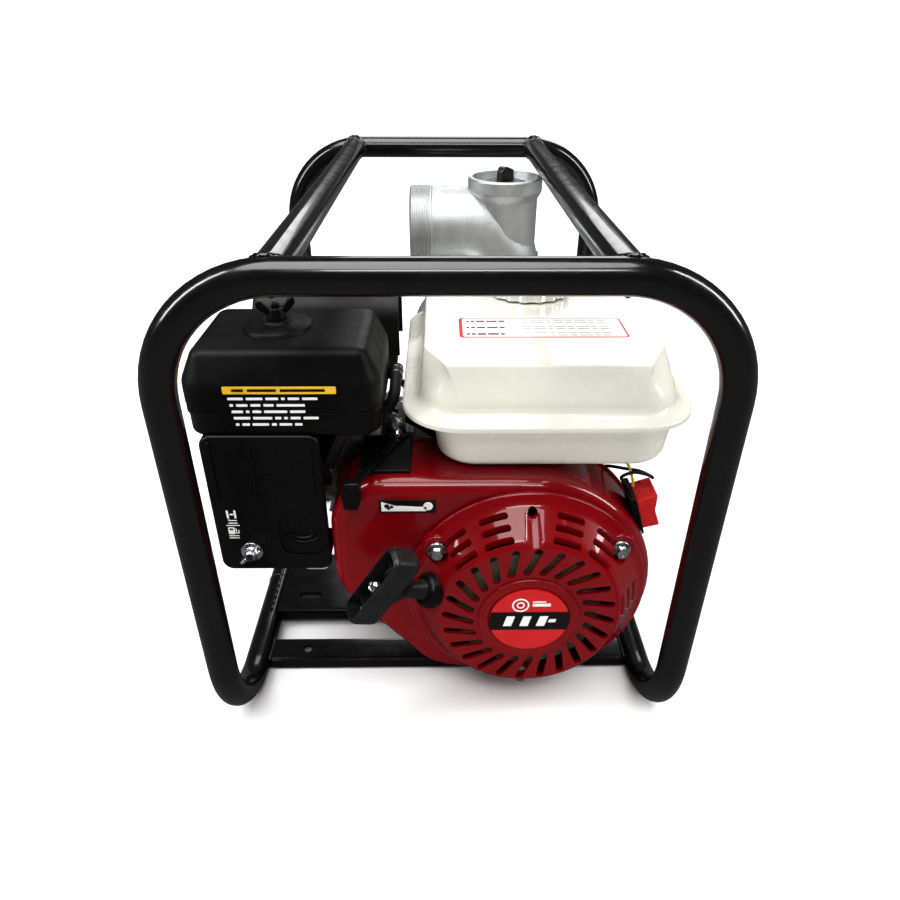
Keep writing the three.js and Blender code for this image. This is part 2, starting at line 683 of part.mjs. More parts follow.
function throttleLever() {
  const [low, high] = [SHROUD_TOP + 3.8, SHROUD_TOP + 7];
  const hub = rod('z', 7, low, high, 14).translate(THROTTLE_X, THROTTLE_Y, 0);
  const arm = prism('z', outline([[-116, -155], [-108, -155], [-139, -223], [-147, -223]]), low, high);
  const side = [[-152, 95], [-141, 95], [-137, 108], [-139, high], [-150, high], [-154, 108]];
  const knob = prism('y', outline(side), -226, -217);
  const bore = rod('z', 3.3, low - 5, high + 5, 10).translate(THROTTLE_X, THROTTLE_Y, 0);
  return cut(join(hub, arm, knob), bore);
}

addNode(engine, 'control_bracket', controlBracket(), 'zinc');
addNode(engine, 'throttle_lever', throttleLever(), 'blackPlastic');

const switchWire = smoothTube([
  [87, -184, 90.5], [83, -184, 95], [81, -184, 101], [90, -184, 105.5], [102, -184, 103], [107, -180, 98],
  [101, -172, 97], [88, -158, 98], [78, -149, 92], [74, -138.5, 82], [68, -137, 66],
], 1.8, 22);
addNode(engine, 'switch_wire', switchWire, 'rubber');

// ---------------------------------------------------------------- fuel tank
// The tank's outline in plan, drawn in from the lip by an inset.
function tankOutline(inset, back, side = 0) {
  const [left, right] = [TANK_LEFT + side + inset, TANK_RIGHT - inset];
  const [front, rear] = [TANK_FRONT + inset, back];
  const [near, far] = [TANK_CORNER - inset, TANK_REAR_CORNER - inset];
  const shape = new THREE.Shape();
  shape.absarc(left + near, front + near, near, Math.PI, Math.PI * 1.5);
  shape.absarc(right - near, front + near, near, -Math.PI / 2, 0);
  shape.absarc(right - far, rear - far, far, 0, Math.PI / 2);
  shape.absarc(left + far, rear - far, far, Math.PI / 2, Math.PI);
  return shape;
}

// The flat top: a rectangle with its four corners cut off.
function tankTopOutline(shrink) {
  const [left, right, front, back] = [-88 + shrink, 113 - shrink, -186 + shrink, 46 - shrink];
  return outline([
    [left + 19, front], [right - 22, front], [right, front + 42], [right, back - 22],
    [right - 14, back], [left + 14, back], [left, back - 22], [left, front + 40],
  ]);
}

function tankBlank(shrink, curveSegments) {
  const inset = TANK_LIP + shrink;
  const level = (reach, back, side, low, high) => {
    return toSolid(prism('z', tankOutline(reach, back, side), low, high, { curveSegments }));
  };
  const bottom = TANK_BOTTOM + shrink;
  const slices = [[11, bottom], [5, bottom + 5], [0, TANK_SEAM - 1]].map(([reach, low]) => {
    return level(inset + reach, TANK_SUMP_BACK - shrink - reach, TANK_SUMP_LEFT, low, low + 1);
  });
  const sump = wasm.Manifold.hull(slices);
  const top = prism('z', tankTopOutline(shrink), TANK_TOP - shrink - 1, TANK_TOP - shrink);
  const foot = level(inset, TANK_BACK - inset, 0, TANK_SEAM, TANK_SEAM + 4);
  return join(sump, wasm.Manifold.hull([foot, toSolid(top)]));
}

function fuelTank() {
  const inside = tankBlank(TANK_SHELL, 3);
  const rim = tankOutline(0, TANK_BACK);
  const lip = prism('z', rim, TANK_SEAM - 2.5, TANK_SEAM + 2.5, { curveSegments: 6 });
  const neck = rod('z', 27, TANK_TOP - 6, TANK_TOP + 6, 22).translate(FILLER_X, FILLER_Y, 0);
  const mouth = rod('z', 23, TANK_TOP - 30, TANK_TOP + 10, 22).translate(FILLER_X, FILLER_Y, 0);
  const outlet = rod('z', 3, TANK_BOTTOM - 20, TANK_BOTTOM + 20, 12).translate(TANK_OUTLET_X, TANK_OUTLET_Y, 0);
  const spout = rod('z', 5, TANK_BOTTOM - 8, TANK_BOTTOM + 2, 10).translate(TANK_OUTLET_X, TANK_OUTLET_Y, 0);
  return cut(join(tankBlank(0, 5), lip, neck, spout), inside, mouth, outlet);
}

function fuelCap() {
  const scallops = 18;
  const steps = 72;
  const edge = Array.from({ length: steps }, (_, k) => {
    const angle = (2 * Math.PI * k) / steps;
    const radius = CAP_RADIUS + 1.2 * Math.cos(scallops * angle);
    return [radius * Math.cos(angle), radius * Math.sin(angle)];
  });
  const skirt = prism('z', outline(edge), TANK_TOP + 1, TANK_TOP + 14);
  const dome = turned('z', [
    [0, TANK_TOP + 12], [CAP_RADIUS - 3, TANK_TOP + 12], [CAP_RADIUS - 3, TANK_TOP + 15],
    [30, TANK_TOP + 18.5], [0, TANK_TOP + 20],
  ], 24);
  const hollow = rod('z', 31, TANK_TOP - 5, TANK_TOP + 10, 24);
  const plug = rod('z', 21, TANK_TOP + 4, TANK_TOP + 12, 22);
  return join(cut(join(skirt, dome), hollow), plug).translate([FILLER_X, FILLER_Y, 0]);
}

function tankBracket() {
  const legs = [-30, 40].map((x) => box(x, x + 12, -112, -70, 58, TANK_BOTTOM - GAP));
  const rail = box(-30, 52, -112, -70, TANK_BOTTOM - 8, TANK_BOTTOM - GAP);
  const caseSpace = prism('y', CASE_OUTLINE, -200, 0);
  const barrelSpace = prism('z', roundedRect(-51, 51, -145, -40, 18), 60, DECK + 60).rotateY(CYLINDER_TILT);
  return cut(join(...legs, rail), caseSpace, barrelSpace);
}

addNode(engine, 'fuel_tank', fuelTank(), 'whitePaint');
addNode(engine, 'fuel_cap', fuelCap(), 'chrome');
addNode(engine, 'tank_bracket', tankBracket(), 'blackPaint');

const fuelHose = smoothTube([
  [TANK_OUTLET_X, TANK_OUTLET_Y, TANK_BOTTOM - 9], [TANK_OUTLET_X, TANK_OUTLET_Y, TANK_BOTTOM - 12],
  [-62, -110, 98], [-77, -111, 99], [-94, -112, 111], [-125, -118, 130], [-165, -130, 142], [-195, -146, 130],
  [CARB_X + 31, CARB_Y, 100], [CARB_X + 33, CARB_Y, CARB_Z + 14],
], 4, 16);
addNode(engine, 'fuel_hose', fuelHose, 'rubber');

// ---------------------------------------------------------------- air cleaner
function softBox(x0, x1, y0, y1, z0, z1, radius, bevel) {
  const shape = roundedRect(x0, x1, y0, y1, radius);
  return prism('z', shape, z0, z1 - bevel, {
    bevelEnabled: true, bevelThickness: bevel, bevelSize: bevel, bevelOffset: -bevel, bevelSegments: 2,
    curveSegments: 4,
  });
}

function cleanerCover() {
  const [x0, x1, y0, y1] = [CLEANER_LEFT, CLEANER_RIGHT, CLEANER_FRONT, CLEANER_BACK];
  const outer = softBox(x0, x1, y0, y1, CLEANER_SPLIT - 10, CLEANER_TOP, 20, 14);
  const cavity = roundedRect(x0 + 9, x1 - 9, y0 + 9, y1 - 9, 12);
  const inner = prism('z', cavity, CLEANER_SPLIT - 30, CLEANER_TOP - 5);
  const below = box(x0 - 5, x1 + 5, y0 - 5, y1 + 5, CLEANER_SPLIT - 60, CLEANER_SPLIT + GAP);
  const boss = turned('z', [
    [0, CLEANER_TOP - 4], [30, CLEANER_TOP - 4], [28, CLEANER_TOP + 1], [22, CLEANER_TOP + 4],
    [14, CLEANER_TOP + 5], [12, CLEANER_TOP + CLEANER_BOSS], [0, CLEANER_TOP + CLEANER_BOSS],
  ], 22).translate(CLEANER_STUD_X, CLEANER_STUD_Y, 0);
  const hole = rod('z', 4, CLEANER_TOP - 30, CLEANER_TOP + 20, 10);
  hole.translate(CLEANER_STUD_X, CLEANER_STUD_Y, 0);
  return cut(join(cut(outer, inner), boss), below, hole);
}

function cleanerBase() {
  const [x0, x1, y0, y1] = [CLEANER_LEFT + 1, CLEANER_RIGHT - 1, CLEANER_FRONT + 1, CLEANER_BACK - 1];
  const tray = prism('z', roundedRect(x0, x1, y0, y1, 19), CLEANER_BASE, CLEANER_SPLIT, { curveSegments: 5 });
  const cavity = roundedRect(x0 + 5, x1 - 5, y0 + 5, y1 - 5, 14);
  const hollow = prism('z', cavity, CLEANER_BASE + 4, CLEANER_SPLIT + 5, { curveSegments: 5 });
  const post = rod('z', 3, CLEANER_BASE + 2, CLEANER_TOP + 19, 12);
  post.translate(CLEANER_STUD_X, CLEANER_STUD_Y, 0);
  const duct = box(CARB_X - 20, CARB_X + 20, -199, CARB_Y - 16, CARB_Z - 20, CLEANER_BASE + 3);
  const ductBore = box(CARB_X - 15, CARB_X + 15, -196, CARB_Y - 20, CARB_Z - 15, CLEANER_BASE + 10);
  const ductFace = rod('y', 13, -196, CARB_Y, 14).translate(CARB_X, 0, CARB_Z);
  return cut(join(cut(tray, hollow), post, duct), ductBore, ductFace);
}

function filterElement() {
  const [x0, x1, y0, y1] = [CLEANER_LEFT + 14, CLEANER_RIGHT - 14, CLEANER_FRONT + 14, CLEANER_BACK - 14];
  const block = prism('z', roundedRect(x0, x1, y0, y1, 14), CLEANER_BASE + 4.3, CLEANER_TOP - 8);
  const middle = prism('z', roundedRect(x0 + 22, x1 - 22, y0 + 22, y1 - 22, 12), CLEANER_BASE, CLEANER_TOP);
  return cut(block, middle);
}

function wingNut() {
  const z = CLEANER_TOP + CLEANER_BOSS + GAP;
  const hub = turned('z', [[0, z], [7, z], [6, z + 9], [0, z + 9]], 12);
  const side = [[2, z + 1], [8, z + 2], [15, z + 10], [13, z + 14], [8, z + 12], [2, z + 7]];
  const wing = prism('y', outline(side), -1.6, 1.6);
  const other = wing.clone().rotateZ(Math.PI);
  const bore = rod('z', 3.3, z - 5, z + 30, 12);
  return cut(join(hub, wing, other), bore).translate([CLEANER_STUD_X, CLEANER_STUD_Y, 0]);
}

function controlPanel() {
  const [x0, x1] = [CLEANER_LEFT + 4, SHROUD_LEFT - 2];
  const [front, back] = [-206, -150];
  const bottom = 17;
  const outer = prism('y', roundedRect(x0, x1, bottom, CLEANER_BASE - GAP, 10), front, back);
  const inner = box(x0 + SHEET, x1 + 20, front + SHEET, back + 10, bottom + SHEET, CLEANER_BASE + 10);
  return cut(outer, inner);
}

addNode(engine, 'air_cleaner_cover', cleanerCover(), 'blackPlastic');
addNode(engine, 'air_cleaner_base', cleanerBase(), 'blackPlastic');
addNode(engine, 'air_filter', filterElement(), 'foam');
addNode(engine, 'wing_nut', wingNut(), 'blackPlastic');
addNode(engine, 'control_panel', controlPanel(), 'blackPlastic');

// ---------------------------------------------------------------- carburetor
const carb = new THREE.Group();
carb.position.set(CARB_X, CARB_Y, CARB_Z);
engine.add(carb);

function carburetor() {
  const body = join(rod('y', 19, -15, 15, 18), box(-19, 19, -12, 14, -22, 4));
  const flange = join(box(-24, 24, 11, 15, -14, 14), box(-22, 22, -15, -11, -15, 15));
  const inlet = rod('x', 4, 15, 29, 10).translate(0, 0, 10);
  const bore = turned('y', [[0, -20], [14, -20], [10, -2], [11, 20], [0, 20]], 14);
  return cut(join(body, flange, inlet), bore);
}

function carburetorWithInsulator() {
  const insulator = cut(box(-24, 24, 14.9, CASE_FRONT - CARB_Y - GAP, -17, 17), rod('y', 11, 0, 40, 12));
  return join(carburetor(), insulator);
}

function floatBowl() {
  return turned('z', [[0, -49], [14, -49], [19, -43], [20, -22.3], [0, -22.3]], 18);
}

addNode(carb, 'carburetor', carburetorWithInsulator(), 'castAluminium');
addNode(carb, 'float_bowl', floatBowl(), 'zinc');

function lever(length, reach) {
  const hub = rod('x', 7, 0, 4, 12);
  const arm = box(0, 4, -4, 4, -length, 0);
  const knob = box(-reach, 4, -4, 4, -length - 10, -length + 4);
  return join(hub, arm, knob);
}

const chokeGroup = new THREE.Group();
chokeGroup.position.set(-26, -5, 11);
carb.add(chokeGroup);
addNode(chokeGroup, 'choke_lever', lever(16, 4), 'blackPlastic');

const fuelValveGroup = new THREE.Group();
fuelValveGroup.position.set(-26, -5, -26);
carb.add(fuelValveGroup);
addNode(fuelValveGroup, 'fuel_valve_lever', lever(8, 4), 'blackPlastic');

// ---------------------------------------------------------------- muffler
function muffler() {
  const body = prism('x', roundedRect(-38, 22, 128, 205, 22), -250, -118, { curveSegments: 6 });
  const pipeInlet = rod('y', 12, -43.5, -30, 12).translate(-145, 0, 137);
  return join(body, pipeInlet);
}

function mufflerShield() {
  const outer = prism('x', roundedRect(-41.5, 25.5, 124.5, 209, 25), -255, -114, { curveSegments: 6 });
  const inner = prism('x', roundedRect(-38.5, 22.5, 127.5, 206, 22.5), -252, -100, { curveSegments: 6 });
  const slots = [-235, -205, -175, -145].map((x) => box(x, x + 16, -20, 6, 190, 240));
  const under = box(-260, -100, -60, 60, 100, 150);
  return cut(outer, inner, under, ...slots);
}

addNode(engine, 'muffler', muffler(), 'castIron');
addNode(engine, 'muffler_shield', mufflerShield(), 'blackPaint');

// ---------------------------------------------------------------- oil filler, drain
const dipstick = turned('x', [
  [0, 61], [4, 61], [4, 66], [8.5, 68], [8.5, 78.5], [14, 78.5], [14, 90], [0, 92],
], 12);
addNode(engine, 'oil_dipstick', dipstick.translate(0, -62, -78), 'blackPlastic');
const drain = join(rod('x', 6.6, -90, -70, 10), prism('x', hexagon(17), -99, -92.4), rod('x', 6, -93, -89, 10));
addNode(engine, 'oil_drain_bolt', drain.translate([0, -110, -88]), 'zinc');

// ---------------------------------------------------------------- pump
const pump = new THREE.Group();
pump.position.copy(engine.position);
group.add(pump);

function pumpBracket() {
  return turned('y', [
    [24, GAP], [66, GAP], [66, 8], [80, 16], [98, 20], [98, 27], [24, 27], [24, GAP],
  ], 24);
}

function casingOutline(wall) {
  const width = PUMP_HALF_WIDTH - wall;
  return roundedRect(-width, width, ENGINE_BASE + wall, PUMP_TOP - wall, 62 - wall);
}

function pumpCasing() {
  const soft = 8;
  const outer = prism('y', casingOutline(0), 33, PUMP_BACK - soft, {
    bevelEnabled: true, bevelThickness: soft, bevelSize: soft, bevelOffset: -soft, bevelSegments: 1,
  });
  const inner = prism('y', casingOutline(PUMP_WALL), 33, PUMP_BACK - PUMP_WALL);
  const neck = rod('z', PIPE_COLLAR, PUMP_TOP - 10, 162, 22).translate(0, PORT_Y, 0);
  const flange = prism('z', roundedRect(-52, 52, PORT_Y - 52, PORT_Y + 52, 24), 162, 172);
  const port = rod('z', PORT_RADIUS, PUMP_TOP - 20, 180, 22).translate(0, PORT_Y, 0);
  const boss = rod('y', 52, PUMP_BACK - 10, PUMP_BACK + 4, 22).translate(0, 0, SUCTION_Z);
  const eye = rod('y', PORT_RADIUS, PUMP_BACK - 20, PUMP_BACK + 10, 22).translate(0, 0, SUCTION_Z);
  const mouth = rod('y', 72, 20, 40, 28);
  const drainHole = rod('y', 9.8, PUMP_BACK - 20, PUMP_BACK + 10, 12).translate(0, 0, DRAIN_Z);
  const drainBoss = rod('y', 15, PUMP_BACK - 10, PUMP_BACK + 4, 14).translate(0, 0, DRAIN_Z);
  const front = rod('y', 99, 20, 27.3, 28);
  return cut(join(outer, neck, flange, boss, drainBoss), inner, port, eye, mouth, drainHole, front);
}

function volute() {
  const body = turned('y', [
    [24, 41], [90, 41], [94, 46], [94, 88], [90, 93], [30, 93], [30, 84], [76, 84], [76, 50], [24, 50],
    [24, 41],
  ], 22);
  const outlet = box(30, 70, 52, 82, 40, 110);
  return cut(body, outlet);
}

function impeller() {
  const plate = turned('y', [
    [10.3, 54], [IMPELLER_RADIUS, 54], [IMPELLER_RADIUS, 59], [20, 60], [16, 76], [10.3, 76], [10.3, 54],
  ], 20);
  const vanes = [0, 1, 2, 3].map((k) => {
    const blade = prism('y', outline([[12, 0], [40, 12], [68, 12], [68, 17], [38, 18], [12, 8]]), 57, 76);
    return blade.rotateY((k * Math.PI) / 2);
  });
  return join(plate, ...vanes);
}

function shaftSeal() {
  return turned('y', [[12.8, 2.5], [23.6, 2.5], [23.6, 26], [20, 28], [20, 38], [12.8, 38], [12.8, 2.5]], 16);
}

function suctionFlange() {
  const y = PUMP_BACK + 4 + GAP;
  const body = turned('y', [
    [PORT_RADIUS, y], [52, y], [52, y + 9], [43, y + 11], [43, y + 14], [PIPE_COLLAR, y + 15],
    [PIPE_COLLAR, y + 40], [PORT_RADIUS + 4, y + 40], [PORT_RADIUS, y + 36], [PORT_RADIUS, y],
  ], 24);
  return body.translate(0, 0, SUCTION_Z);
}

function checkFlap() {
  const flap = rod('y', PORT_RADIUS + 5, PUMP_BACK - PUMP_WALL - 5, PUMP_BACK - PUMP_WALL - GAP, 22);
  const ear = box(-12, 12, PUMP_BACK - PUMP_WALL - 5, PUMP_BACK - PUMP_WALL - GAP, 30, 44);
  return join(flap, ear).translate([0, 0, SUCTION_Z]);
}

function elbowBend(radius, sides) {
  const centre = [-ELBOW_RADIUS, PORT_Y, OUTLET_Z - ELBOW_RADIUS];
  const turn = arcPoints(centre, [1, 0, 0], [0, 0, 1], ELBOW_RADIUS, 6);
  const straight = new THREE.Vector3(-ELBOW_RADIUS - 4, PORT_Y, OUTLET_Z);
  return tube([...turn, straight], radius, sides);
}

function dischargeElbow() {
  const foot = prism('z', roundedRect(-52, 52, PORT_Y - 52, PORT_Y + 52, 24), 172.3, 181);
  const riser = turned('z', [
    [0, 176], [ELBOW_PIPE, 176], [ELBOW_PIPE, 184], [PIPE_RADIUS, 190], [PIPE_RADIUS, 268], [41, 272],
    [41, 283], [38, 284], [0, 284],
  ], 24).translate(0, PORT_Y, 0);
  const branch = turned('x', [
    [0, OUTLET_END], [PIPE_COLLAR, OUTLET_END], [PIPE_COLLAR, OUTLET_END + 24], [ELBOW_PIPE, OUTLET_END + 25],
    [ELBOW_PIPE, -ELBOW_RADIUS - 1], [0, -ELBOW_RADIUS - 1],
  ], 24).translate(0, PORT_Y, OUTLET_Z);
  const below = box(-100, 60, PORT_Y - 60, PORT_Y + 60, 100, 176);
  const bend = cut(elbowBend(ELBOW_PIPE - 0.3, 24), below);
  const riserBore = rod('z', PORT_RADIUS, 160, 272, 20).translate(0, PORT_Y, 0);
  const branchBore = rod('x', PORT_RADIUS, OUTLET_END - 5, -ELBOW_RADIUS, 20);
  branchBore.translate(0, PORT_Y, OUTLET_Z);
  const primingHole = rod('z', 20.3, 260, 290, 18).translate(0, PORT_Y, 0);
  const bores = [riserBore, branchBore, elbowBend(PORT_RADIUS - 0.5, 20)];
  return cut(join(foot, riser, branch, bend), ...bores, primingHole);
}

function primingPlug() {
  const body = turned('z', [[0, 266], [19.5, 266], [19.5, 284.3], [24, 284.3], [24, 287], [0, 287]], 18);
  const wing = box(-16, 16, -4.5, 4.5, 286, 297);
  return join(body, wing).translate([0, PORT_Y, 0]);
}

function pumpDrainPlug() {
  const y = PUMP_BACK + 4 + GAP;
  const body = turned('y', [[0, y - 16], [9, y - 16], [9, y], [14, y], [14, y + 6], [0, y + 6]], 14);
  const wing = box(-12, 12, y + 5, y + 14, -2.5, 2.5);
  return join(body, wing).translate([0, 0, DRAIN_Z]);
}

addNode(pump, 'pump_bracket', pumpBracket(), 'castAluminium');
addNode(pump, 'pump_casing', pumpCasing(), 'castAluminium');
addNode(pump, 'volute', volute(), 'castIron');
addNode(pump, 'impeller', impeller(), 'castIron');
addNode(pump, 'shaft_seal', shaftSeal(), 'rubber');
addNode(pump, 'suction_port', suctionFlange(), 'castAluminium');
addNode(pump, 'check_valve_flap', checkFlap(), 'rubber');
addNode(pump, 'discharge_elbow', dischargeElbow(), 'castAluminium');
addNode(pump, 'priming_plug', primingPlug(), 'blackPlastic');
addNode(pump, 'pump_drain_plug', pumpDrainPlug(), 'blackPlastic');

export default group;
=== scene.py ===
"""Engine-driven 3-inch water pump in a tube frame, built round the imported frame.

Sizes are in millimetres in the row frame and turn into metres when a piece is made.
The recoil starter faces -Y.
"""
import math

import bpy
import numpy as np
from mathutils import Matrix, Vector


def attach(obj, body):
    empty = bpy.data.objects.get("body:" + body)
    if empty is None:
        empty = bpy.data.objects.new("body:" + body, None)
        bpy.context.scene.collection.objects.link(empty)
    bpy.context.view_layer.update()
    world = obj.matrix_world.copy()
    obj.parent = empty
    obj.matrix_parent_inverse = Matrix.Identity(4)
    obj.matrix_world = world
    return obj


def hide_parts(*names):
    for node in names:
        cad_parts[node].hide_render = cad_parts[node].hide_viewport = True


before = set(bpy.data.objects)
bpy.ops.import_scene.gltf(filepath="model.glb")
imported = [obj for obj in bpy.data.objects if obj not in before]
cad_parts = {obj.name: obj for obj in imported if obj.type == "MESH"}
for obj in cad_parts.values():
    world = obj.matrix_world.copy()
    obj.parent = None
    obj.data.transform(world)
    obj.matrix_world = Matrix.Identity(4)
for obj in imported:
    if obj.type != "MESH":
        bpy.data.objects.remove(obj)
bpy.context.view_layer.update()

MM = 0.001
TAU = 2 * math.pi

# ---------------------------------------------------------------- driving dimensions, as in the frame
ROW = Matrix.Identity(4)
# engine frame: Y runs along the crankshaft, and Y = 0 is where the pump's adapter meets the engine
ENGINE_X, ENGINE_Y, ENGINE_Z = 68, 4, 132
ENGINE = Matrix.Translation((ENGINE_X, ENGINE_Y, ENGINE_Z))
# the cylinder leans to -X by this many degrees
LEAN = -65
CYLINDER = ENGINE @ Matrix.Rotation(math.radians(LEAN), 4, "Y")
# the tube frame: tube radius, then places of the tubes' centre lines
TUBE = 12
HALF_WIDTH = 191
HALF_LENGTH = 265
FRAME_TOP = 432
RAIL_X = 110.5
# bend radii: top corners of the front (-1) and rear (1) loop, and the feet
CORNERS = {-1: 85, 1: 89}
FOOT_BEND = 83
# the loops meet under the engine and stop this far from each other's joint plane
JOINT_Y = -65
HALF_GAP = 0.15
# underside of the engine and the pump in the engine frame
ENGINE_BASE = -108


# ---------------------------------------------------------------- solids made of points and faces
class Solid:
    """A closed body: points in millimetres and faces that turn outward."""

    def __init__(self, points, faces):
        self.points = np.asarray(points, float).reshape(-1, 3)
        self.faces = [tuple(f) for f in faces]
        if self.volume() < 0:
            self.faces = [f[::-1] for f in self.faces]

    def volume(self):
        fans = [(f[0], f[k], f[k + 1]) for f in self.faces for k in range(1, len(f) - 1)]
        a, b, c = (self.points[[t[k] for t in fans]] for k in range(3))
        return float(np.einsum("ij,ij->i", a, np.cross(b, c)).sum()) / 6

    def placed(self, matrix):
        m = np.array(matrix, float)
        return Solid(self.points @ m[:3, :3].T + m[:3, 3], self.faces)

    def at(self, x=0.0, y=0.0, z=0.0):
        return self.placed(Matrix.Translation((x, y, z)))

    def spun(self, axis, degrees):
        return self.placed(Matrix.Rotation(math.radians(degrees), 4, axis))


def heap(*solids):
    """Several separate bodies in one mesh."""
    points, faces, base = [], [], 0
    for s in solids:
        points.append(s.points)
        faces += [tuple(i + base for i in f) for f in s.faces]
        base += len(s.points)
    made = Solid.__new__(Solid)
    made.points, made.faces = np.vstack(points), faces
    return made


def work_object(solid):
    mesh = bpy.data.meshes.new("work")
    mesh.from_pydata(solid.points.tolist(), [], solid.faces)
    obj = bpy.data.objects.new("work", mesh)
    bpy.context.scene.collection.objects.link(obj)
    return obj


def combined(operation, first, others):
    objects = [work_object(s) for s in (first, *others)]
    for tool in objects[1:]:
        step = objects[0].modifiers.new("step", "BOOLEAN")
        step.operation, step.object, step.solver = operation, tool, "MANIFOLD"
    graph = bpy.context.evaluated_depsgraph_get()
    shown = objects[0].evaluated_get(graph)
    mesh = shown.to_mesh()
    points = np.zeros(len(mesh.vertices) * 3)
    mesh.vertices.foreach_get("co", points)
    result = Solid(points, [tuple(p.vertices) for p in mesh.polygons])
    shown.to_mesh_clear()
    for obj in objects:
        data = obj.data
        bpy.data.objects.remove(obj)
        bpy.data.meshes.remove(data)
    return result


def join(first, *others):
    return combined("UNION", first, others)


def cut(first, *tools):
    return combined("DIFFERENCE", first, tools)


def rounded(points, radius, closed=True, steps=3):
    """A 2-D line with its corners taken off by short curves."""
    points = [np.array(p, float) for p in points]
    count, out = len(points), []
    for k, p in enumerate(points):
        if not closed and k in (0, count - 1):
            out.append(p)
            continue
        before, after = points[k - 1] - p, points[(k + 1) % count] - p
        reach = min(radius, 0.45 * np.linalg.norm(before), 0.45 * np.linalg.norm(after))
        if reach < 0.02:
            out.append(p)
            continue
        start = p + before / np.linalg.norm(before) * reach
        end = p + after / np.linalg.norm(after) * reach
        for s in range(steps + 1):
            t = s / steps
            out.append((1 - t) ** 2 * start + 2 * t * (1 - t) * p + t * t * end)
    return out


AXES = {
    "x": ((0, 1, 0), (0, 0, 1), (1, 0, 0)),
    "y": ((1, 0, 0), (0, 0, 1), (0, 1, 0)),
    "z": ((1, 0, 0), (0, 1, 0), (0, 0, 1)),
}


def lathe(axis, profile, sides=64, soft=0.6, steps=3):
    """A body turned about an axis; the profile is (radius, place) pairs, a ring if its ends meet."""
    ring = tuple(profile[0]) == tuple(profile[-1])
    line = rounded(profile[:-1], soft, True, steps) if ring else rounded(profile, soft, False, steps)
    u, v, w = (np.array(a, float) for a in AXES[axis])
    points, rows = [], []
    for radius, place in line:
        if radius < 1e-6:
            rows.append([len(points)])
            points.append(w * place)
            continue
        rows.append(list(range(len(points), len(points) + sides)))
        for k in range(sides):
            angle = TAU * k / sides
            points.append(u * radius * math.cos(angle) + v * radius * math.sin(angle) + w * place)
    faces = []
    for a, b in zip(rows, rows[1:] + (rows[:1] if ring else [])):
        for k in range(sides):
            n = (k + 1) % sides
            if len(a) == 1 and len(b) == 1:
                continue
            if len(a) == 1:
                faces.append((a[0], b[k], b[n]))
            elif len(b) == 1:
                faces.append((a[k], b[0], a[n]))
            else:
                faces.append((a[k], b[k], b[n], a[n]))
    return Solid(points, faces)


def rod(axis, radius, start, end, sides=32, soft=0.5):
    return lathe(axis, [(0, start), (radius, start), (radius, end), (0, end)], sides, soft)


def ring(axis, outer, inner, start, end, sides=64, soft=0.6):
    return lathe(axis, [(inner, start), (outer, start), (outer, end), (inner, end), (inner, start)], sides,
                 soft)


def grown(line, reach):
    """The outline moved outward by reach, corner by corner."""
    line = np.asarray(line, float)
    before, after = line - np.roll(line, 1, 0), np.roll(line, -1, 0) - line
    n1 = np.stack([before[:, 1], -before[:, 0]], 1)
    n2 = np.stack([after[:, 1], -after[:, 0]], 1)
    n1 /= np.linalg.norm(n1, axis=1)[:, None]
    n2 /= np.linalg.norm(n2, axis=1)[:, None]
    both = n1 + n2
    return line + both * (reach / np.maximum(1 + (n1 * n2).sum(1), 0.3))[:, None]


def anticlockwise(line):
    line = np.asarray(line, float)
    x, y = line[:, 0], line[:, 1]
    return line if (x * np.roll(y, -1) - y * np.roll(x, -1)).sum() > 0 else line[::-1]


def side_faces(rows, count, closed=False):
    """Quads between neighbouring rings of count points."""
    faces = []
    for row in range(rows if closed else rows - 1):
        a, b = row * count, (row + 1) % rows * count
        faces += [(a + k, b + k, b + (k + 1) % count, a + (k + 1) % count) for k in range(count)]
    return faces


def cap_faces(rows, count):
    """The first and the last ring as two flat faces."""
    return [tuple(range(count)), tuple(range((rows - 1) * count, rows * count))[::-1]]


def loft(axis, line, profile):
    """Outlines stacked along an axis; the profile is (inset, place) pairs from one cap to the other."""
    line = anticlockwise(line)
    u, v, w = (np.array(a, float) for a in AXES[axis])
    points = []
    for inset, place in profile:
        flat = grown(line, -inset)
        points.append(flat[:, :1] * u + flat[:, 1:] * v + w * place)
    faces = cap_faces(len(profile), len(line)) + side_faces(len(profile), len(line))
    return Solid(np.vstack(points), faces)


def stacked(rings):
    """A body through level outlines with the same number of points, given as (outline, height) pairs."""
    count = len(rings[0][0])
    points = [(x, y, z) for outline, z in rings for x, y in outline]
    return Solid(points, cap_faces(len(rings), count) + side_faces(len(rings), count))


def eased(radius, start, end, steps=3):
    """Profile of a plain extrusion with rounded rims; radius is one number or one for each end."""
    first, last = radius if isinstance(radius, tuple) else (radius, radius)
    turn = [k / steps * math.pi / 2 for k in range(steps + 1)]
    low = [(first * (1 - math.sin(a)), start + first * (1 - math.cos(a))) for a in turn]
    high = [(last * (1 - math.cos(a)), end - last * (1 - math.sin(a))) for a in turn]
    return (low if first else [(0, start)]) + (high if last else [(0, end)])


def prism(axis, line, start, end, soft=0.6, steps=3):
    return loft(axis, line, eased(soft, start, end, steps))


def arc(cu, cv, radius, start, end, steps):
    angles = [math.radians(start + (end - start) * k / steps) for k in range(steps + 1)]
    return [(cu + radius * math.cos(a), cv + radius * math.sin(a)) for a in angles]


def roundrect(u0, u1, v0, v1, radius, steps=6):
    corners = [(u1 - radius, v0 + radius, -90), (u1 - radius, v1 - radius, 0),
               (u0 + radius, v1 - radius, 90), (u0 + radius, v0 + radius, 180)]
    return [p for u, v, a in corners for p in arc(u, v, radius, a, a + 90, steps)]


def hexagon(flats):
    corner = flats / math.sqrt(3)
    return [(corner * math.cos(k * TAU / 6), corner * math.sin(k * TAU / 6)) for k in range(6)]


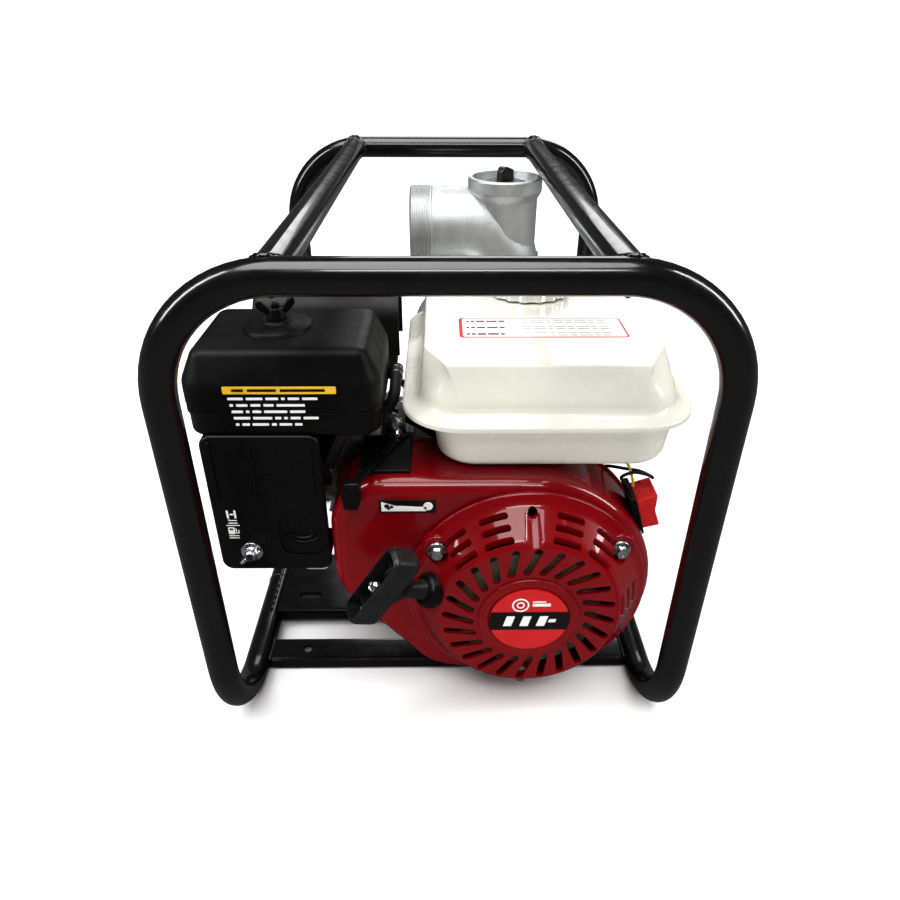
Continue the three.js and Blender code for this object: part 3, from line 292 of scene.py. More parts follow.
def block(x0, x1, y0, y1, z0, z1, soft=0.6):
    return prism("z", roundrect(x0, x1, y0, y1, max(soft, 0.05), 3), z0, z1, soft)


def slab(x0, x1, y0, y1, z0, z1):
    """A plain cutting block."""
    return prism("z", [(x0, y0), (x1, y0), (x1, y1), (x0, y1)], z0, z1, 0)


def sweep(points, radius, sides=24, closed=False):
    """A round bar along a path; radius may be one number or one for each point."""
    path = np.asarray(points, float)
    count = len(path)
    radii = np.broadcast_to(np.asarray(radius, float), (count,))
    if closed:
        tangents = np.roll(path, -1, 0) - np.roll(path, 1, 0)
    else:
        tangents = np.gradient(path, axis=0)
        tangents[0], tangents[-1] = path[1] - path[0], path[-1] - path[-2]
    tangents /= np.linalg.norm(tangents, axis=1)[:, None]
    side = np.cross(tangents[0], (0.0, 0.0, 1.0))
    if np.linalg.norm(side) < 0.2:
        side = np.cross(tangents[0], (0.0, 1.0, 0.0))
    side /= np.linalg.norm(side)
    rows = []
    for k in range(count):
        side = side - tangents[k] * (side @ tangents[k])
        side /= np.linalg.norm(side)
        up = np.cross(tangents[k], side)
        angles = np.arange(sides) * TAU / sides
        rows.append(path[k] + radii[k] * (np.cos(angles)[:, None] * side + np.sin(angles)[:, None] * up))
    faces = side_faces(count, sides, closed) + ([] if closed else cap_faces(count, sides))
    return Solid(np.vstack(rows), faces)


def flowing(points, per_span=8):
    """A Catmull-Rom line through the points."""
    pts = [np.array(p, float) for p in points]
    pts = [2 * pts[0] - pts[1], *pts, 2 * pts[-1] - pts[-2]]
    out = []
    for k in range(1, len(pts) - 2):
        a, b, c, d = pts[k - 1:k + 3]
        for s in range(per_span):
            t = s / per_span
            out.append(0.5 * (2 * b + (c - a) * t + (2 * a - 5 * b + 4 * c - d) * t * t
                              + (3 * b - a - 3 * c + d) * t ** 3))
    out.append(pts[-2])
    return out


def facing(direction, origin=(0, 0, 0)):
    """A matrix that turns local Z to the direction and moves to the origin."""
    return Matrix.Translation(origin) @ Vector(direction).to_track_quat("Z", "Y").to_matrix().to_4x4()


def hex_bolt(flats=10, height=6, flange=8.5, washer=0.0):
    """A flange bolt head with its chamfered hexagon, standing on Z = 0."""
    head = prism("z", hexagon(flats), 1.0, height + 1.5, 0)
    rim = lathe("z", [(0, 0.5), (flats, 0.5), (flats, height - 0.6), (flats * 0.46, height + 1.5),
                      (0, height + 1.5)], 48, 0.4)
    head = combined("INTERSECT", head, [rim])
    foot = lathe("z", [(0, 0), (flange, 0), (flange, 1.1), (flats * 0.55, 2.4), (0, 2.4)], 48, 0.4)
    mark = rod("z", flats * 0.28, height + 0.9, height + 4, 24, 0)
    made = cut(join(foot, head), mark)
    if washer:
        made = heap(made.at(z=1.4), ring("z", washer, 3.4, 0, 1.3, 40, 0.3))
    return made


def nut(flats=13, height=8):
    """A hexagon nut standing on Z = 0, with the threaded end of its stud."""
    face, corner = flats * 0.5, flats * 0.62
    drum = lathe("z", [(0, 0), (face, 0), (corner, 1.6), (corner, height - 1.6), (face, height),
                       (0, height)], 48, 0.3)
    body = combined("INTERSECT", prism("z", hexagon(flats), 0, height, 0), [drum])
    turns = [(3.6 if k % 2 else 3.1, k * 0.6) for k in range(int(height / 0.6) + 5)]
    stud = lathe("z", [(0, -2), (3.6, -2)] + turns + [(0, height + 3.5)], 24, 0)
    return join(body, stud)


def thread(radius, start, end, pitch=2.2, depth=1.1):
    """Profile points of a screw thread, read as rings, from start to end."""
    step = 1 if end > start else -1
    count = int(abs(end - start) / pitch)
    points = []
    for k in range(count):
        place = start + step * k * pitch
        points += [(radius - depth, place), (radius, place + step * pitch * 0.4),
                   (radius, place + step * pitch * 0.6)]
    return points + [(radius - depth, end)]


# ---------------------------------------------------------------- finishes
LOOKS = {}


def finish(name, color, rough, metal=0.0, mottle=(40, 0.1), spread=0.06, grain=(900, 0.1), pits=None,
           scuffs=None, coat=0.0, coat_rough=0.05, dust=None, sheen=0.5):
    """A painted, moulded or cast surface: mottled colour and roughness, grain, pits, scuffs and dust."""
    mat = bpy.data.materials.new(name)
    mat.use_nodes = True
    nodes, links = mat.node_tree.nodes, mat.node_tree.links
    shader = nodes["Principled BSDF"]
    shader.inputs["Metallic"].default_value = metal
    shader.inputs["Specular IOR Level"].default_value = sheen
    shader.inputs["Coat Weight"].default_value = coat
    shader.inputs["Coat Roughness"].default_value = coat_rough
    place = nodes.new("ShaderNodeTexCoord").outputs["Object"]

    def noise(scale, detail=3.0, rough_noise=0.55):
        node = nodes.new("ShaderNodeTexNoise")
        node.inputs["Scale"].default_value = scale
        node.inputs["Detail"].default_value = detail
        node.inputs["Roughness"].default_value = rough_noise
        links.new(place, node.inputs["Vector"])
        return node.outputs["Fac"]

    def ranged(value, low, high, to_low, to_high):
        node = nodes.new("ShaderNodeMapRange")
        node.inputs["From Min"].default_value, node.inputs["From Max"].default_value = low, high
        node.inputs["To Min"].default_value, node.inputs["To Max"].default_value = to_low, to_high
        links.new(value, node.inputs["Value"])
        return node.outputs["Result"]

    def mixed(factor, first, second):
        node = nodes.new("ShaderNodeMix")
        node.data_type = "RGBA"
        for socket, value in ((0, factor), (6, first), (7, second)):
            if isinstance(value, tuple):
                node.inputs[socket].default_value = (*value, 1)
            else:
                links.new(value, node.inputs[socket])
        return node.outputs[2]

    scale, amount = mottle
    dark = tuple(c * (1 - amount) for c in color)
    light = tuple(min(1.0, c * (1 + amount)) for c in color)
    base = mixed(ranged(noise(scale), 0.3, 0.7, 0.0, 1.0), dark, light)
    roughness = ranged(noise(scale * 2.7, 4.0), 0.3, 0.7, max(0.02, rough - spread),
                       min(1.0, rough + spread))
    if scuffs:
        share, tone, scuff_rough = scuffs
        mask = ranged(noise(170, 6.0, 0.75), 0.74 - share, 0.8 - share, 0.0, 1.0)
        base = mixed(mask, base, tone)
        node = nodes.new("ShaderNodeMix")
        node.inputs[3].default_value = scuff_rough
        links.new(mask, node.inputs[0])
        links.new(roughness, node.inputs[2])
        roughness = node.outputs[0]
    if dust:
        tone, share = dust
        film = ranged(noise(14, 5.0, 0.65), 0.45, 0.85, 0.0, share)
        base = mixed(film, base, tone)
    links.new(base, shader.inputs["Base Color"])
    links.new(roughness, shader.inputs["Roughness"])
    normal = None
    layers = [(noise(grain[0], 2.0), grain[1], 0.0004)]
    if pits:
        cells = nodes.new("ShaderNodeTexVoronoi")
        cells.inputs["Scale"].default_value = pits[0]
        links.new(place, cells.inputs["Vector"])
        layers.append((cells.outputs["Distance"], pits[1], 0.0008))
    for height, strength, reach in layers:
        bump = nodes.new("ShaderNodeBump")
        bump.inputs["Strength"].default_value = strength
        bump.inputs["Distance"].default_value = reach
        links.new(height, bump.inputs["Height"])
        if normal:
            links.new(normal, bump.inputs["Normal"])
        normal = bump.outputs["Normal"]
    links.new(normal, shader.inputs["Normal"])
    LOOKS[name] = mat


finish("frame_paint", (0.0045, 0.0045, 0.005), 0.2, mottle=(25, 0.2), grain=(260, 0.08), coat=0.5,
       coat_rough=0.06, scuffs=(0.0, (0.03, 0.03, 0.032), 0.5))
finish("shroud_red", (0.18, 0.0018, 0.005), 0.24, mottle=(18, 0.1), grain=(300, 0.05), coat=0.7, sheen=0.15,
       coat_rough=0.04, scuffs=(0.0, (0.16, 0.01, 0.012), 0.45))
finish("tank_white", (0.62, 0.61, 0.545), 0.26, mottle=(12, 0.006), grain=(220, 0.04), coat=0.3, sheen=0.3,
       coat_rough=0.06)
finish("black_satin", (0.004, 0.004, 0.0045), 0.42, sheen=0.18, mottle=(30, 0.15), grain=(1500, 0.35),
       dust=((0.05, 0.05, 0.048), 0.2))
finish("black_plastic", (0.0045, 0.0045, 0.005), 0.3, sheen=0.3, mottle=(30, 0.15), grain=(1200, 0.2),
       scuffs=(0.0, (0.03, 0.03, 0.03), 0.5))
finish("grip_plastic", (0.012, 0.0125, 0.013), 0.32, mottle=(60, 0.2), grain=(1500, 0.35))
finish("switch_red", (0.55, 0.008, 0.012), 0.28, mottle=(60, 0.08), grain=(900, 0.1))
finish("cast_aluminium", (0.62, 0.625, 0.63), 0.42, 0.85, mottle=(70, 0.09), grain=(1300, 0.5),
       pits=(900, 0.25), dust=((0.42, 0.42, 0.41), 0.3))
finish("cast_grey", (0.36, 0.365, 0.37), 0.5, 0.8, mottle=(60, 0.14), grain=(1100, 0.5), pits=(700, 0.3),
       dust=((0.16, 0.15, 0.14), 0.4))
finish("cast_iron", (0.2, 0.195, 0.19), 0.58, 0.7, mottle=(60, 0.2), grain=(1000, 0.5), pits=(600, 0.4))
finish("olive_iron", (0.19, 0.18, 0.12), 0.5, 0.45, mottle=(80, 0.2), grain=(800, 0.4))
finish("machined_steel", (0.56, 0.565, 0.57), 0.28, 1.0, mottle=(50, 0.06), grain=(700, 0.1))
finish("zinc", (0.74, 0.77, 0.78), 0.24, 1.0, mottle=(220, 0.12), spread=0.1, grain=(800, 0.15))
finish("chrome", (0.86, 0.87, 0.88), 0.07, 1.0, mottle=(40, 0.03), spread=0.03, grain=(300, 0.03))
finish("rubber", (0.007, 0.007, 0.007), 0.6, sheen=0.35, mottle=(50, 0.25), grain=(900, 0.3))
finish("muffler_steel", (0.10, 0.095, 0.09), 0.55, 0.5, mottle=(30, 0.25), grain=(900, 0.4),
       dust=((0.10, 0.055, 0.03), 0.45))
finish("shield_paint", (0.006, 0.006, 0.006), 0.48, sheen=0.35, mottle=(40, 0.2), grain=(700, 0.3))
finish("foam", (0.06, 0.062, 0.058), 0.9, mottle=(200, 0.3), grain=(900, 0.9), pits=(500, 0.9))
finish("rope", (0.05, 0.05, 0.05), 0.85, mottle=(900, 0.4), grain=(1800, 0.9))
finish("label_white", (0.74, 0.74, 0.73), 0.6, sheen=0.15, mottle=(80, 0.03), grain=(500, 0.04))
finish("label_red", (0.5, 0.008, 0.012), 0.45, sheen=0.2, mottle=(60, 0.06), grain=(500, 0.04))
finish("label_black", (0.006, 0.006, 0.006), 0.3, mottle=(60, 0.1), grain=(500, 0.04))
finish("label_ink", (0.12, 0.035, 0.035), 0.6, sheen=0.15, mottle=(60, 0.1), grain=(500, 0.04))
finish("label_yellow", (0.75, 0.46, 0.015), 0.35, mottle=(60, 0.06), grain=(500, 0.04))
finish("wire_yellow", (0.72, 0.45, 0.02), 0.4, mottle=(60, 0.1), grain=(500, 0.1))


# ---------------------------------------------------------------- pieces
# the material slot that a finish belongs to; labels and marks have none
SLOTS = {
    "frame_paint": "frame_paint",
    "shroud_red": "shroud_red",
    "tank_white": "tank_white",
    "black_satin": "black_plastic",
    "black_plastic": "black_plastic",
    "grip_plastic": "black_plastic",
    "switch_red": "switch_red",
    "cast_aluminium": "pump_aluminium",
    "cast_grey": "block_casting",
    "cast_iron": "pump_iron",
    "olive_iron": "flywheel_iron",
    "machined_steel": "machined_steel",
    "zinc": "zinc",
    "chrome": "cap_chrome",
    "rubber": "rubber",
    "muffler_steel": "muffler_steel",
    "shield_paint": "shield_paint",
    "rope": "rope",
}


def piece(name, solid, look, body="chassis", replaces=None, slot=None, matrix=ENGINE, angle=34, bevel=0.0):
    """A finished mesh on its body: smooth where the surface turns gently, sharp where it doesn't."""
    mesh = bpy.data.meshes.new(name)
    mesh.from_pydata((solid.placed(matrix).points * MM).tolist(), [], solid.faces)
    mesh.validate()
    mesh.polygons.foreach_set("use_smooth", [True] * len(mesh.polygons))
    mesh.set_sharp_from_angle(angle=math.radians(angle))
    mesh.materials.append(LOOKS[look])
    obj = bpy.data.objects.new(name, mesh)
    bpy.context.scene.collection.objects.link(obj)
    if bevel:
        rim = obj.modifiers.new("rim", "BEVEL")
        rim.width, rim.segments, rim.limit_method = bevel * MM, 2, "ANGLE"
        rim.angle_limit = math.radians(angle)
        rim.use_clamp_overlap = True
        rim.miter_outer = "MITER_ARC"
    shade = obj.modifiers.new("shade", "WEIGHTED_NORMAL")
    shade.keep_sharp = True
    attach(obj, body)
    if replaces:
        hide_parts(replaces)
    slot = slot or SLOTS.get(look)


def keep(node, look):
    """A CAD node that stays, with its finish."""
    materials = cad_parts[node].data.materials
    materials.clear()
    materials.append(LOOKS[look])


# ---------------------------------------------------------------- tube frame
def loop_path(side, steps=16):
    """Centre line of one end loop, up one side from the joint and down the other."""
    corner = CORNERS[side]
    joint_y, foot_y = JOINT_Y + side * HALF_GAP, side * (HALF_LENGTH - FOOT_BEND)
    quarter = [k / steps * math.pi / 2 for k in range(steps + 1)]
    halves = []
    for sx in (-1, 1):
        x = sx * HALF_WIDTH
        line = [(x, joint_y, TUBE)]
        line += [(x, foot_y * t + joint_y * (1 - t), TUBE) for t in (0.25, 0.5, 0.75)]
        line += [(x, foot_y + side * FOOT_BEND * math.sin(a), TUBE + FOOT_BEND * (1 - math.cos(a)))
                 for a in quarter]
        line += [(sx * (HALF_WIDTH - corner + corner * math.cos(a)), side * HALF_LENGTH,
                  FRAME_TOP - corner + corner * math.sin(a)) for a in quarter]
        halves.append(line)
    return halves[0] + halves[1][::-1]


loops = {side: sweep(loop_path(side), TUBE, 40) for side in (-1, 1)}
piece("tube_front", loops[-1], "frame_paint", replaces="frame_front", matrix=ROW)
piece("tube_rear", loops[1], "frame_paint", replaces="frame_rear", matrix=ROW)

for word, sx in (("left", -1), ("right", 1)):
    bar = rod("y", TUBE, -HALF_LENGTH, HALF_LENGTH, 40, 0).at(sx * RAIL_X, 0, FRAME_TOP)
    piece(f"top_tube_{word}", cut(bar, loops[-1], loops[1]), "frame_paint", replaces=f"top_rail_{word}",
          matrix=ROW)


def saddle(sx, side, count=72):
    """The line where a top rail meets a loop."""
    corner, line = CORNERS[side], []
    centre_x, centre_z = HALF_WIDTH - corner, FRAME_TOP - corner
    for k in range(count):
        a = TAU * k / count
        x, z = RAIL_X + TUBE * math.cos(a), FRAME_TOP + TUBE * math.sin(a)
        off = z - FRAME_TOP if x < centre_x else math.hypot(x - centre_x, z - centre_z) - corner
        line.append((sx * x, side * (HALF_LENGTH - math.sqrt(max(2.0, TUBE ** 2 - off ** 2))), z))
    return line


def bead(line, size, closed=True):
    """A weld bead with its ripples."""
    count = len(line)
    radii = [size * (1 + 0.16 * math.sin(k * TAU / 4) + 0.1 * math.sin(k * 1.7)) for k in range(count)]
    return sweep(line, radii, 10, closed)


welds = [bead(saddle(sx, side), 2.1) for sx in (-1, 1) for side in (-1, 1)]
for sx in (-1, 1):
    line = [(sx * HALF_WIDTH + (TUBE - 0.3) * math.cos(TAU * k / 60), JOINT_Y,
             TUBE + (TUBE - 0.3) * math.sin(TAU * k / 60)) for k in range(60)]
    welds.append(bead(line, 1.0))


def channel(y0, y1, bottom, top, *tools):
    """A folded cross member from tube to tube, open below, with holes cut by the tools."""
    wall = 3
    inside = [(y0 + wall, bottom), (y0 + wall, top - wall), (y1 - wall, top - wall), (y1 - wall, bottom)]
    outside = [(y1, bottom), (y1, top), (y0, top), (y0, bottom)]
    line = rounded(inside, 1.5, False) + rounded(outside, 4, False)
    body = prism("x", line, -HALF_WIDTH, HALF_WIDTH, 0)
    rails = [rod("y", TUBE + 0.2, y0 - 9, y1 + 9, 40, 0).at(sx * HALF_WIDTH, 0, TUBE) for sx in (-1, 1)]
    ends = [slab(sx * HALF_WIDTH - 9, sx * HALF_WIDTH + 9, y0 - 9, y1 + 9, bottom - 3, top + 3)
            for sx in (-1, 1)]
    return cut(body, *rails, *ends, *tools)


def long_hole(x, y, reach, radius=4.5):
    line = arc(reach, 0, radius, -90, 90, 8) + arc(-reach, 0, radius, 90, 270, 8)
    return prism("z", line, 0, 40, 0).at(x, y, 0)


FEET = [(x, y) for x in (-81, 81) for y in (-117, -46)]
PLATE_TOP = ENGINE_Z + ENGINE_BASE - 0.3
FRONT_BAR, ENGINE_PLATE, REAR_BAR = (-183, -153), (-123, -28), (108, 178)
MOUNTS = [(ENGINE_X + x, ENGINE_Y + y) for x, y in FEET]
bar = channel(*FRONT_BAR, 3, 14, long_hole(-143, -168, 0.1), long_hole(143, -168, 0.1))
piece("cross_bar_front", bar, "frame_paint", replaces="crossmember_front", angle=25, matrix=ROW)
plate_holes = [long_hole(x, y, 5) for x, y in MOUNTS]
plate_holes += [long_hole(-150, y, 8) for y in (-100, -52)]
piece("cross_plate_engine", channel(*ENGINE_PLATE, 11, PLATE_TOP, *plate_holes), "frame_paint",
      replaces="engine_plate", angle=25, matrix=ROW)
piece("cross_bar_rear", channel(*REAR_BAR, 11, PLATE_TOP), "frame_paint", replaces="crossmember_rear",
      angle=25, matrix=ROW)
for sx in (-1, 1):
    for (y0, y1), top in ((FRONT_BAR, 14), (ENGINE_PLATE, PLATE_TOP), (REAR_BAR, PLATE_TOP)):
        reach = math.sqrt(max(0.0, TUBE ** 2 - (top - TUBE) ** 2))
        x = sx * (HALF_WIDTH - reach)
        line = [(x, y0 + (y1 - y0) * k / 40, top) for k in range(41)]
        welds.append(bead(line, 1.7, False))
piece("weld_beads", heap(*welds), "frame_paint", angle=60, matrix=ROW)

# engine feet bolted down to their cross plate
hold_downs = []
for x, y in MOUNTS:
    hold_downs.append(hex_bolt(12, 6, 9, 10).at(x, y, ENGINE_Z - 97 + 0.2))
    hold_downs.append(nut(12, 8).placed(Matrix.Rotation(math.pi, 4, "X")).at(x, y, PLATE_TOP - 3.2))
piece("hold_down_bolts", heap(*hold_downs), "zinc", matrix=ROW)


# ---------------------------------------------------------------- fan housing
def shroud_line(reach=0.0, steps=40):
    line = arc(0, 0, 113, -108, 86, steps)
    line += [(-20, 113.5)] + arc(-118, 63.5, 50, 90, 180, 16) + arc(-108, 20, 60, 180, 219.6, 10)
    line += [(-94, -90)]
    line += [((1 - t) ** 2 * -94 + 2 * t * (1 - t) * -78 + t * t * -35,
              (1 - t) ** 2 * -90 + 2 * t * (1 - t) * -107 + t * t * -107.4)
             for t in np.linspace(0, 1, 9)[1:]]
    return grown(anticlockwise(line), reach)


SHROUD_FRONT, SHROUD_BACK = -214, -144
shell = prism("y", shroud_line(), SHROUD_FRONT, SHROUD_BACK, (14, 0), 8)
hollow = prism("y", shroud_line(-3), SHROUD_FRONT + 3, SHROUD_BACK + 10, (12, 0), 8)
mouth = rod("y", 88, SHROUD_FRONT - 5, SHROUD_FRONT + 8, 72, 0)
hem = cut(prism("y", shroud_line(2.2), SHROUD_BACK - 4, SHROUD_BACK - 0.4, 0.8),
          prism("y", shroud_line(-2), SHROUD_BACK - 8, SHROUD_BACK + 4, 0))
shroud = cut(join(shell, hem), hollow, mouth)
piece("shroud", shroud, "shroud_red", replaces="fan_housing", angle=30)


# ---------------------------------------------------------------- recoil starter
def polar(radius, degrees, y=0.0):
    a = math.radians(degrees)
    return (radius * math.cos(a), y, radius * math.sin(a))


RECOIL_FRONT = -250
BOLTS = (35, 145.5, 270)
BOLT_CIRCLE = 94


def at_bolts(solid, circle=BOLT_CIRCLE):
    return [solid.at(*polar(circle, a)) for a in BOLTS]



cover = lathe("y", [(0, RECOIL_FRONT), (75, RECOIL_FRONT), (80, RECOIL_FRONT + 4), (98, -222), (106, -218),
                    (106, SHROUD_FRONT - 0.3), (96, SHROUD_FRONT - 0.3), (93, -220), (75, RECOIL_FRONT + 5),
                    (72, RECOIL_FRONT + 3.2), (8, RECOIL_FRONT + 3.2), (8, -224), (0, -224)], 120, 4.0, 5)
dish = ring("y", 43, 34.3, RECOIL_FRONT - 2, RECOIL_FRONT + 2, 96, 1.4)
lug = lathe("y", [(0, -224), (12.5, -224), (13.5, -214.3), (0, -214.3)], 48, 1.5)
cover = join(cover, dish, *at_bolts(lug))
pocket = lathe("y", [(0, -262), (11.6, -262), (10.6, -224), (0, -224)], 48, 1)
scoop = sweep([polar(101.2, 90, -233.8), polar(96.7, 90, -239.8), polar(87.7, 90, -251.8),
               polar(84.1, 90, -256.6)], 12, 40)
tools = at_bolts(pocket, BOLT_CIRCLE + 2) + [scoop, rod("y", 4.2, -240, -205, 32, 0).at(*polar(93, 90))]
for k in range(24):
    line = [(u - 60, v) for u, v in roundrect(46, 74.5, -3.2, 3.2, 3.1, 5)]
    slot = prism("y", line, RECOIL_FRONT - 5, RECOIL_FRONT + 8, 0).spun("Y", math.degrees(0.38)).at(60)
    tools.append(slot.spun("Y", k * 15))
for degrees in (5, 47, 70, 110, 133):
    for row in range(3):
        reach, place = 82.5 + row * 5.6, -247 + row * 8.4
        slot = prism("x", roundrect(place, place + 4.8, -12.5, 12.5, 2.2, 4), reach - 8, reach + 13, 0)
        tools.append(slot.spun("Y", -degrees))
tools += at_bolts(rod("y", 3.3, -236, -200, 24, 0))
PULL = Vector((-0.789, -0.413, 0.451)).normalized()
EYELET = Vector((-86, -241, 24))
GRIP = Vector((0.655, 0, 0.756))
GRIP = (GRIP - PULL * GRIP.dot(PULL)).normalized()
HANDLE = ENGINE @ Matrix.Translation(EYELET)
HANDLE = HANDLE @ Matrix((GRIP, PULL.cross(GRIP), PULL)).transposed().to_4x4()
EXIT = ENGINE.inverted() @ HANDLE
tools.append(rod("z", 9, -30, 12, 40, 0).placed(EXIT))
piece("recoil_cover", cut(cover, *tools), "shroud_red", replaces="recoil_housing", angle=38, bevel=0.5)

badge = lathe("y", [(0, -253.2), (33.7, -253.2), (33.7, -250.3), (0, -250.3)], 96, 0.5)
piece("recoil_badge", badge, "label_red", replaces="recoil_emblem", slot="emblem_red")
disc = rod("y", 33.6, -253.35, -253.0, 96, 0)
band = combined("INTERSECT", disc, [slab(-40, 40, -260, -250, -10.5, 9.5)])
piece("badge_band", band, "label_black")
RAISED = (-253.6, -253.1)
marks = [prism("y", [(x + 2, -6), (x + 9, -6), (x + 12, 5), (x + 5, 5)], *RAISED, 0) for x in (-24, -10, 4)]
marks.append(prism("y", [(16, -1.8), (22, -1.8), (23, 1.6), (17, 1.6)], *RAISED, 0))
marks += [ring("y", 7.2, 5.9, *RAISED, 48, 0).at(-8, 0, 17.5),
          ring("y", 3.4, 2.2, *RAISED, 40, 0).at(-8, 0, 17.5)]
marks += [slab(2, 17, *RAISED, 16.2, 19.2), slab(2, 13, *RAISED, 20.6, 21.6)]
piece("badge_marks", heap(*marks), "label_white")

screws = [hex_bolt(9, 6, 8, 8).placed(facing((0, -1, 0), polar(BOLT_CIRCLE, a, -224.3))) for a in BOLTS]
piece("recoil_bolts", heap(*screws), "zinc")

piece("reel", lathe("y", [(8.4, -242), (62, -242), (62, -240), (51, -238.5), (51, -231.5), (62, -230),
                          (62, -228), (8.4, -228), (8.4, -242)], 72, 0.6), "olive_iron", body="recoil_reel",
      replaces="starter_reel", slot="black_plastic")
guide = ring("z", 8.6, 3, -8, 0.5, 40, 1.2)
piece("rope_bush", guide, "black_plastic", replaces="rope_guide", matrix=HANDLE)
boot = lathe("z", [(9.4, -9), (13.5, -9), (15.5, -3), (14, 3), (11.2, 5.5), (9.6, 4.5), (9.2, -2),
                   (9.4, -9)], 56, 1.2)
piece("rope_boot", boot, "black_plastic", matrix=HANDLE)

grip = prism("z", roundrect(-41, 41, -12, 12, 9, 10), 33, 57, 4.5, 6)
stem = lathe("z", [(0, 1), (8.6, 1), (9.6, 3.5), (7.6, 12), (7.8, 24), (13, 34), (13, 38), (0, 38)], 56, 4,
             5)
web = prism("y", rounded([(-27, 35), (27, 35), (8, 18), (-8, 18)], 5), -3, 3, 1)
grip = join(grip, stem, web)
trough = prism("z", roundrect(-36.5, 36.5, -8.4, 8.4, 6, 8), 42, 70, (2.5, 0), 4)
ribs = [slab(x - 0.9, x + 0.9, -10, 10, 38, 50) for x in (-24, 24)]
grip = cut(join(cut(grip, trough), *ribs), rod("z", 2.6, -5, 60, 24, 0))
piece("pull_grip", grip, "grip_plastic", body="pull_handle", replaces="starter_handle", slot="grip_plastic",
      matrix=HANDLE, angle=36, bevel=0.4)
retainer = lathe("z", [(2.7, 42.4), (6.8, 42.4), (7, 45), (5.4, 50), (5.8, 53), (3.6, 55.5), (2.7, 54),
                       (2.7, 42.4)], 40, 0.8)
piece("rope_retainer", retainer, "chrome", body="pull_handle", matrix=HANDLE)
tip = lathe("z", [(0, 41.5), (3.6, 41.5), (3.6, 46.5), (2.2, 48.5), (0, 48.8)], 32, 0.6).at(-29.5, 0, 0)
piece("grip_rivet", tip, "chrome", body="pull_handle", matrix=HANDLE)


# ---------------------------------------------------------------- starter rope
def rope_path():
    reach, contact = math.hypot(EYELET.x, EYELET.z), 53.4
    angle = math.atan2(EYELET.z, EYELET.x) + math.acos(contact / reach)
    leave = Vector((contact * math.cos(angle), -235, contact * math.sin(angle)))
    turn = [EYELET + PULL * s for s in (-9, -6, -3, 0, 3)]
    straight = [leave.lerp(turn[0], t) for t in (0.33, 0.67)]
    return [leave] + straight + turn + [EYELET + PULL * s for s in (20, 36, 48)]


def braid(points, radius, strands=6, turns=0.11):
    """A plaited cord: round bars wound round the path."""
    path = flowing(points, 10)
    step = [0.0]
    for a, b in zip(path, path[1:]):
        step.append(step[-1] + float(np.linalg.norm(np.array(b) - np.array(a))))
    tangents = np.gradient(np.array(path), axis=0)
    made = [sweep(path, radius * 0.82, 12)]
    for hand in (1, -1):
        for k in range(strands // 2):
            line = []
            for p, t, s in zip(path, tangents, step):
                t = Vector(t).normalized()
                u = t.cross(Vector((0.3, 0.2, 1))).normalized()
                v = t.cross(u)
                a = hand * s * turns * TAU + k * TAU / (strands / 2)
                line.append(np.array(p) + np.array(u * math.cos(a) + v * math.sin(a)) * radius * 0.68)
            made.append(sweep(line, radius * 0.34, 6))
    return heap(*made)


knot = lathe("z", [(0, 45.4), (2.4, 46), (3.4, 49), (3, 52.4), (0, 53.6)], 28, 1.2).placed(EXIT)
piece("pull_rope", heap(braid(rope_path(), 2), knot), "rope", body="pull_handle", replaces="starter_rope")

# ---------------------------------------------------------------- flywheel seen through the slots
wheel = lathe("y", [(12.9, -203), (24, -203), (24, -190), (80, -186), (80, -204), (92, -204), (92, -162),
                    (84, -162), (84, -176), (26, -178), (26, -161), (12.9, -161), (12.9, -203)], 96, 1.0)
vanes = [block(50, 82, -203, -184, -1.5, 1.5, 0.5).spun("Y", k * 18) for k in range(20)]
piece("fan_wheel", join(wheel, *vanes), "olive_iron", body="main_shaft", replaces="flywheel")
cup = lathe("y", [(8.5, -205.9), (37, -205.9), (39, -222), (36.5, -222), (35, -208.5), (8.5, -208.5),
                  (8.5, -205.9)], 64, 0.6)
windows = [slab(20, 60, -219, -212, -4, 4).spun("Y", k * 60) for k in range(6)]
piece("cup", cut(cup, *windows), "machined_steel", body="main_shaft", replaces="starter_cup")

# ---------------------------------------------------------------- throttle decal on the housing
decal_y = SHROUD_FRONT - 0.25
plate = prism("y", roundrect(-125, -78, 84, 97, 1.2, 4), decal_y, SHROUD_FRONT + 0.2, 0.1)
piece("throttle_plate", plate, "label_black")
wedge = prism("y", [(-123, 86), (-86, 86), (-86, 90.2), (-112, 91.5), (-123, 95.5)], decal_y - 0.2,
              decal_y + 0.1, 0)
sun = prism("y", arc(-84.5, 91, 4, 0, 360, 24)[:-1], decal_y - 0.2, decal_y + 0.1, 0)
piece("throttle_plate_marks", heap(wedge, sun), "label_white")
dots = [prism("y", arc(x, z, r, 0, 360, 16)[:-1], decal_y - 0.4, decal_y - 0.1, 0)
        for x, z, r in ((-118.5, 91.2, 2.1), (-114.6, 90.4, 1.5), (-117, 88.8, 1.3))]
piece("throttle_plate_hare", heap(*dots), "label_black")

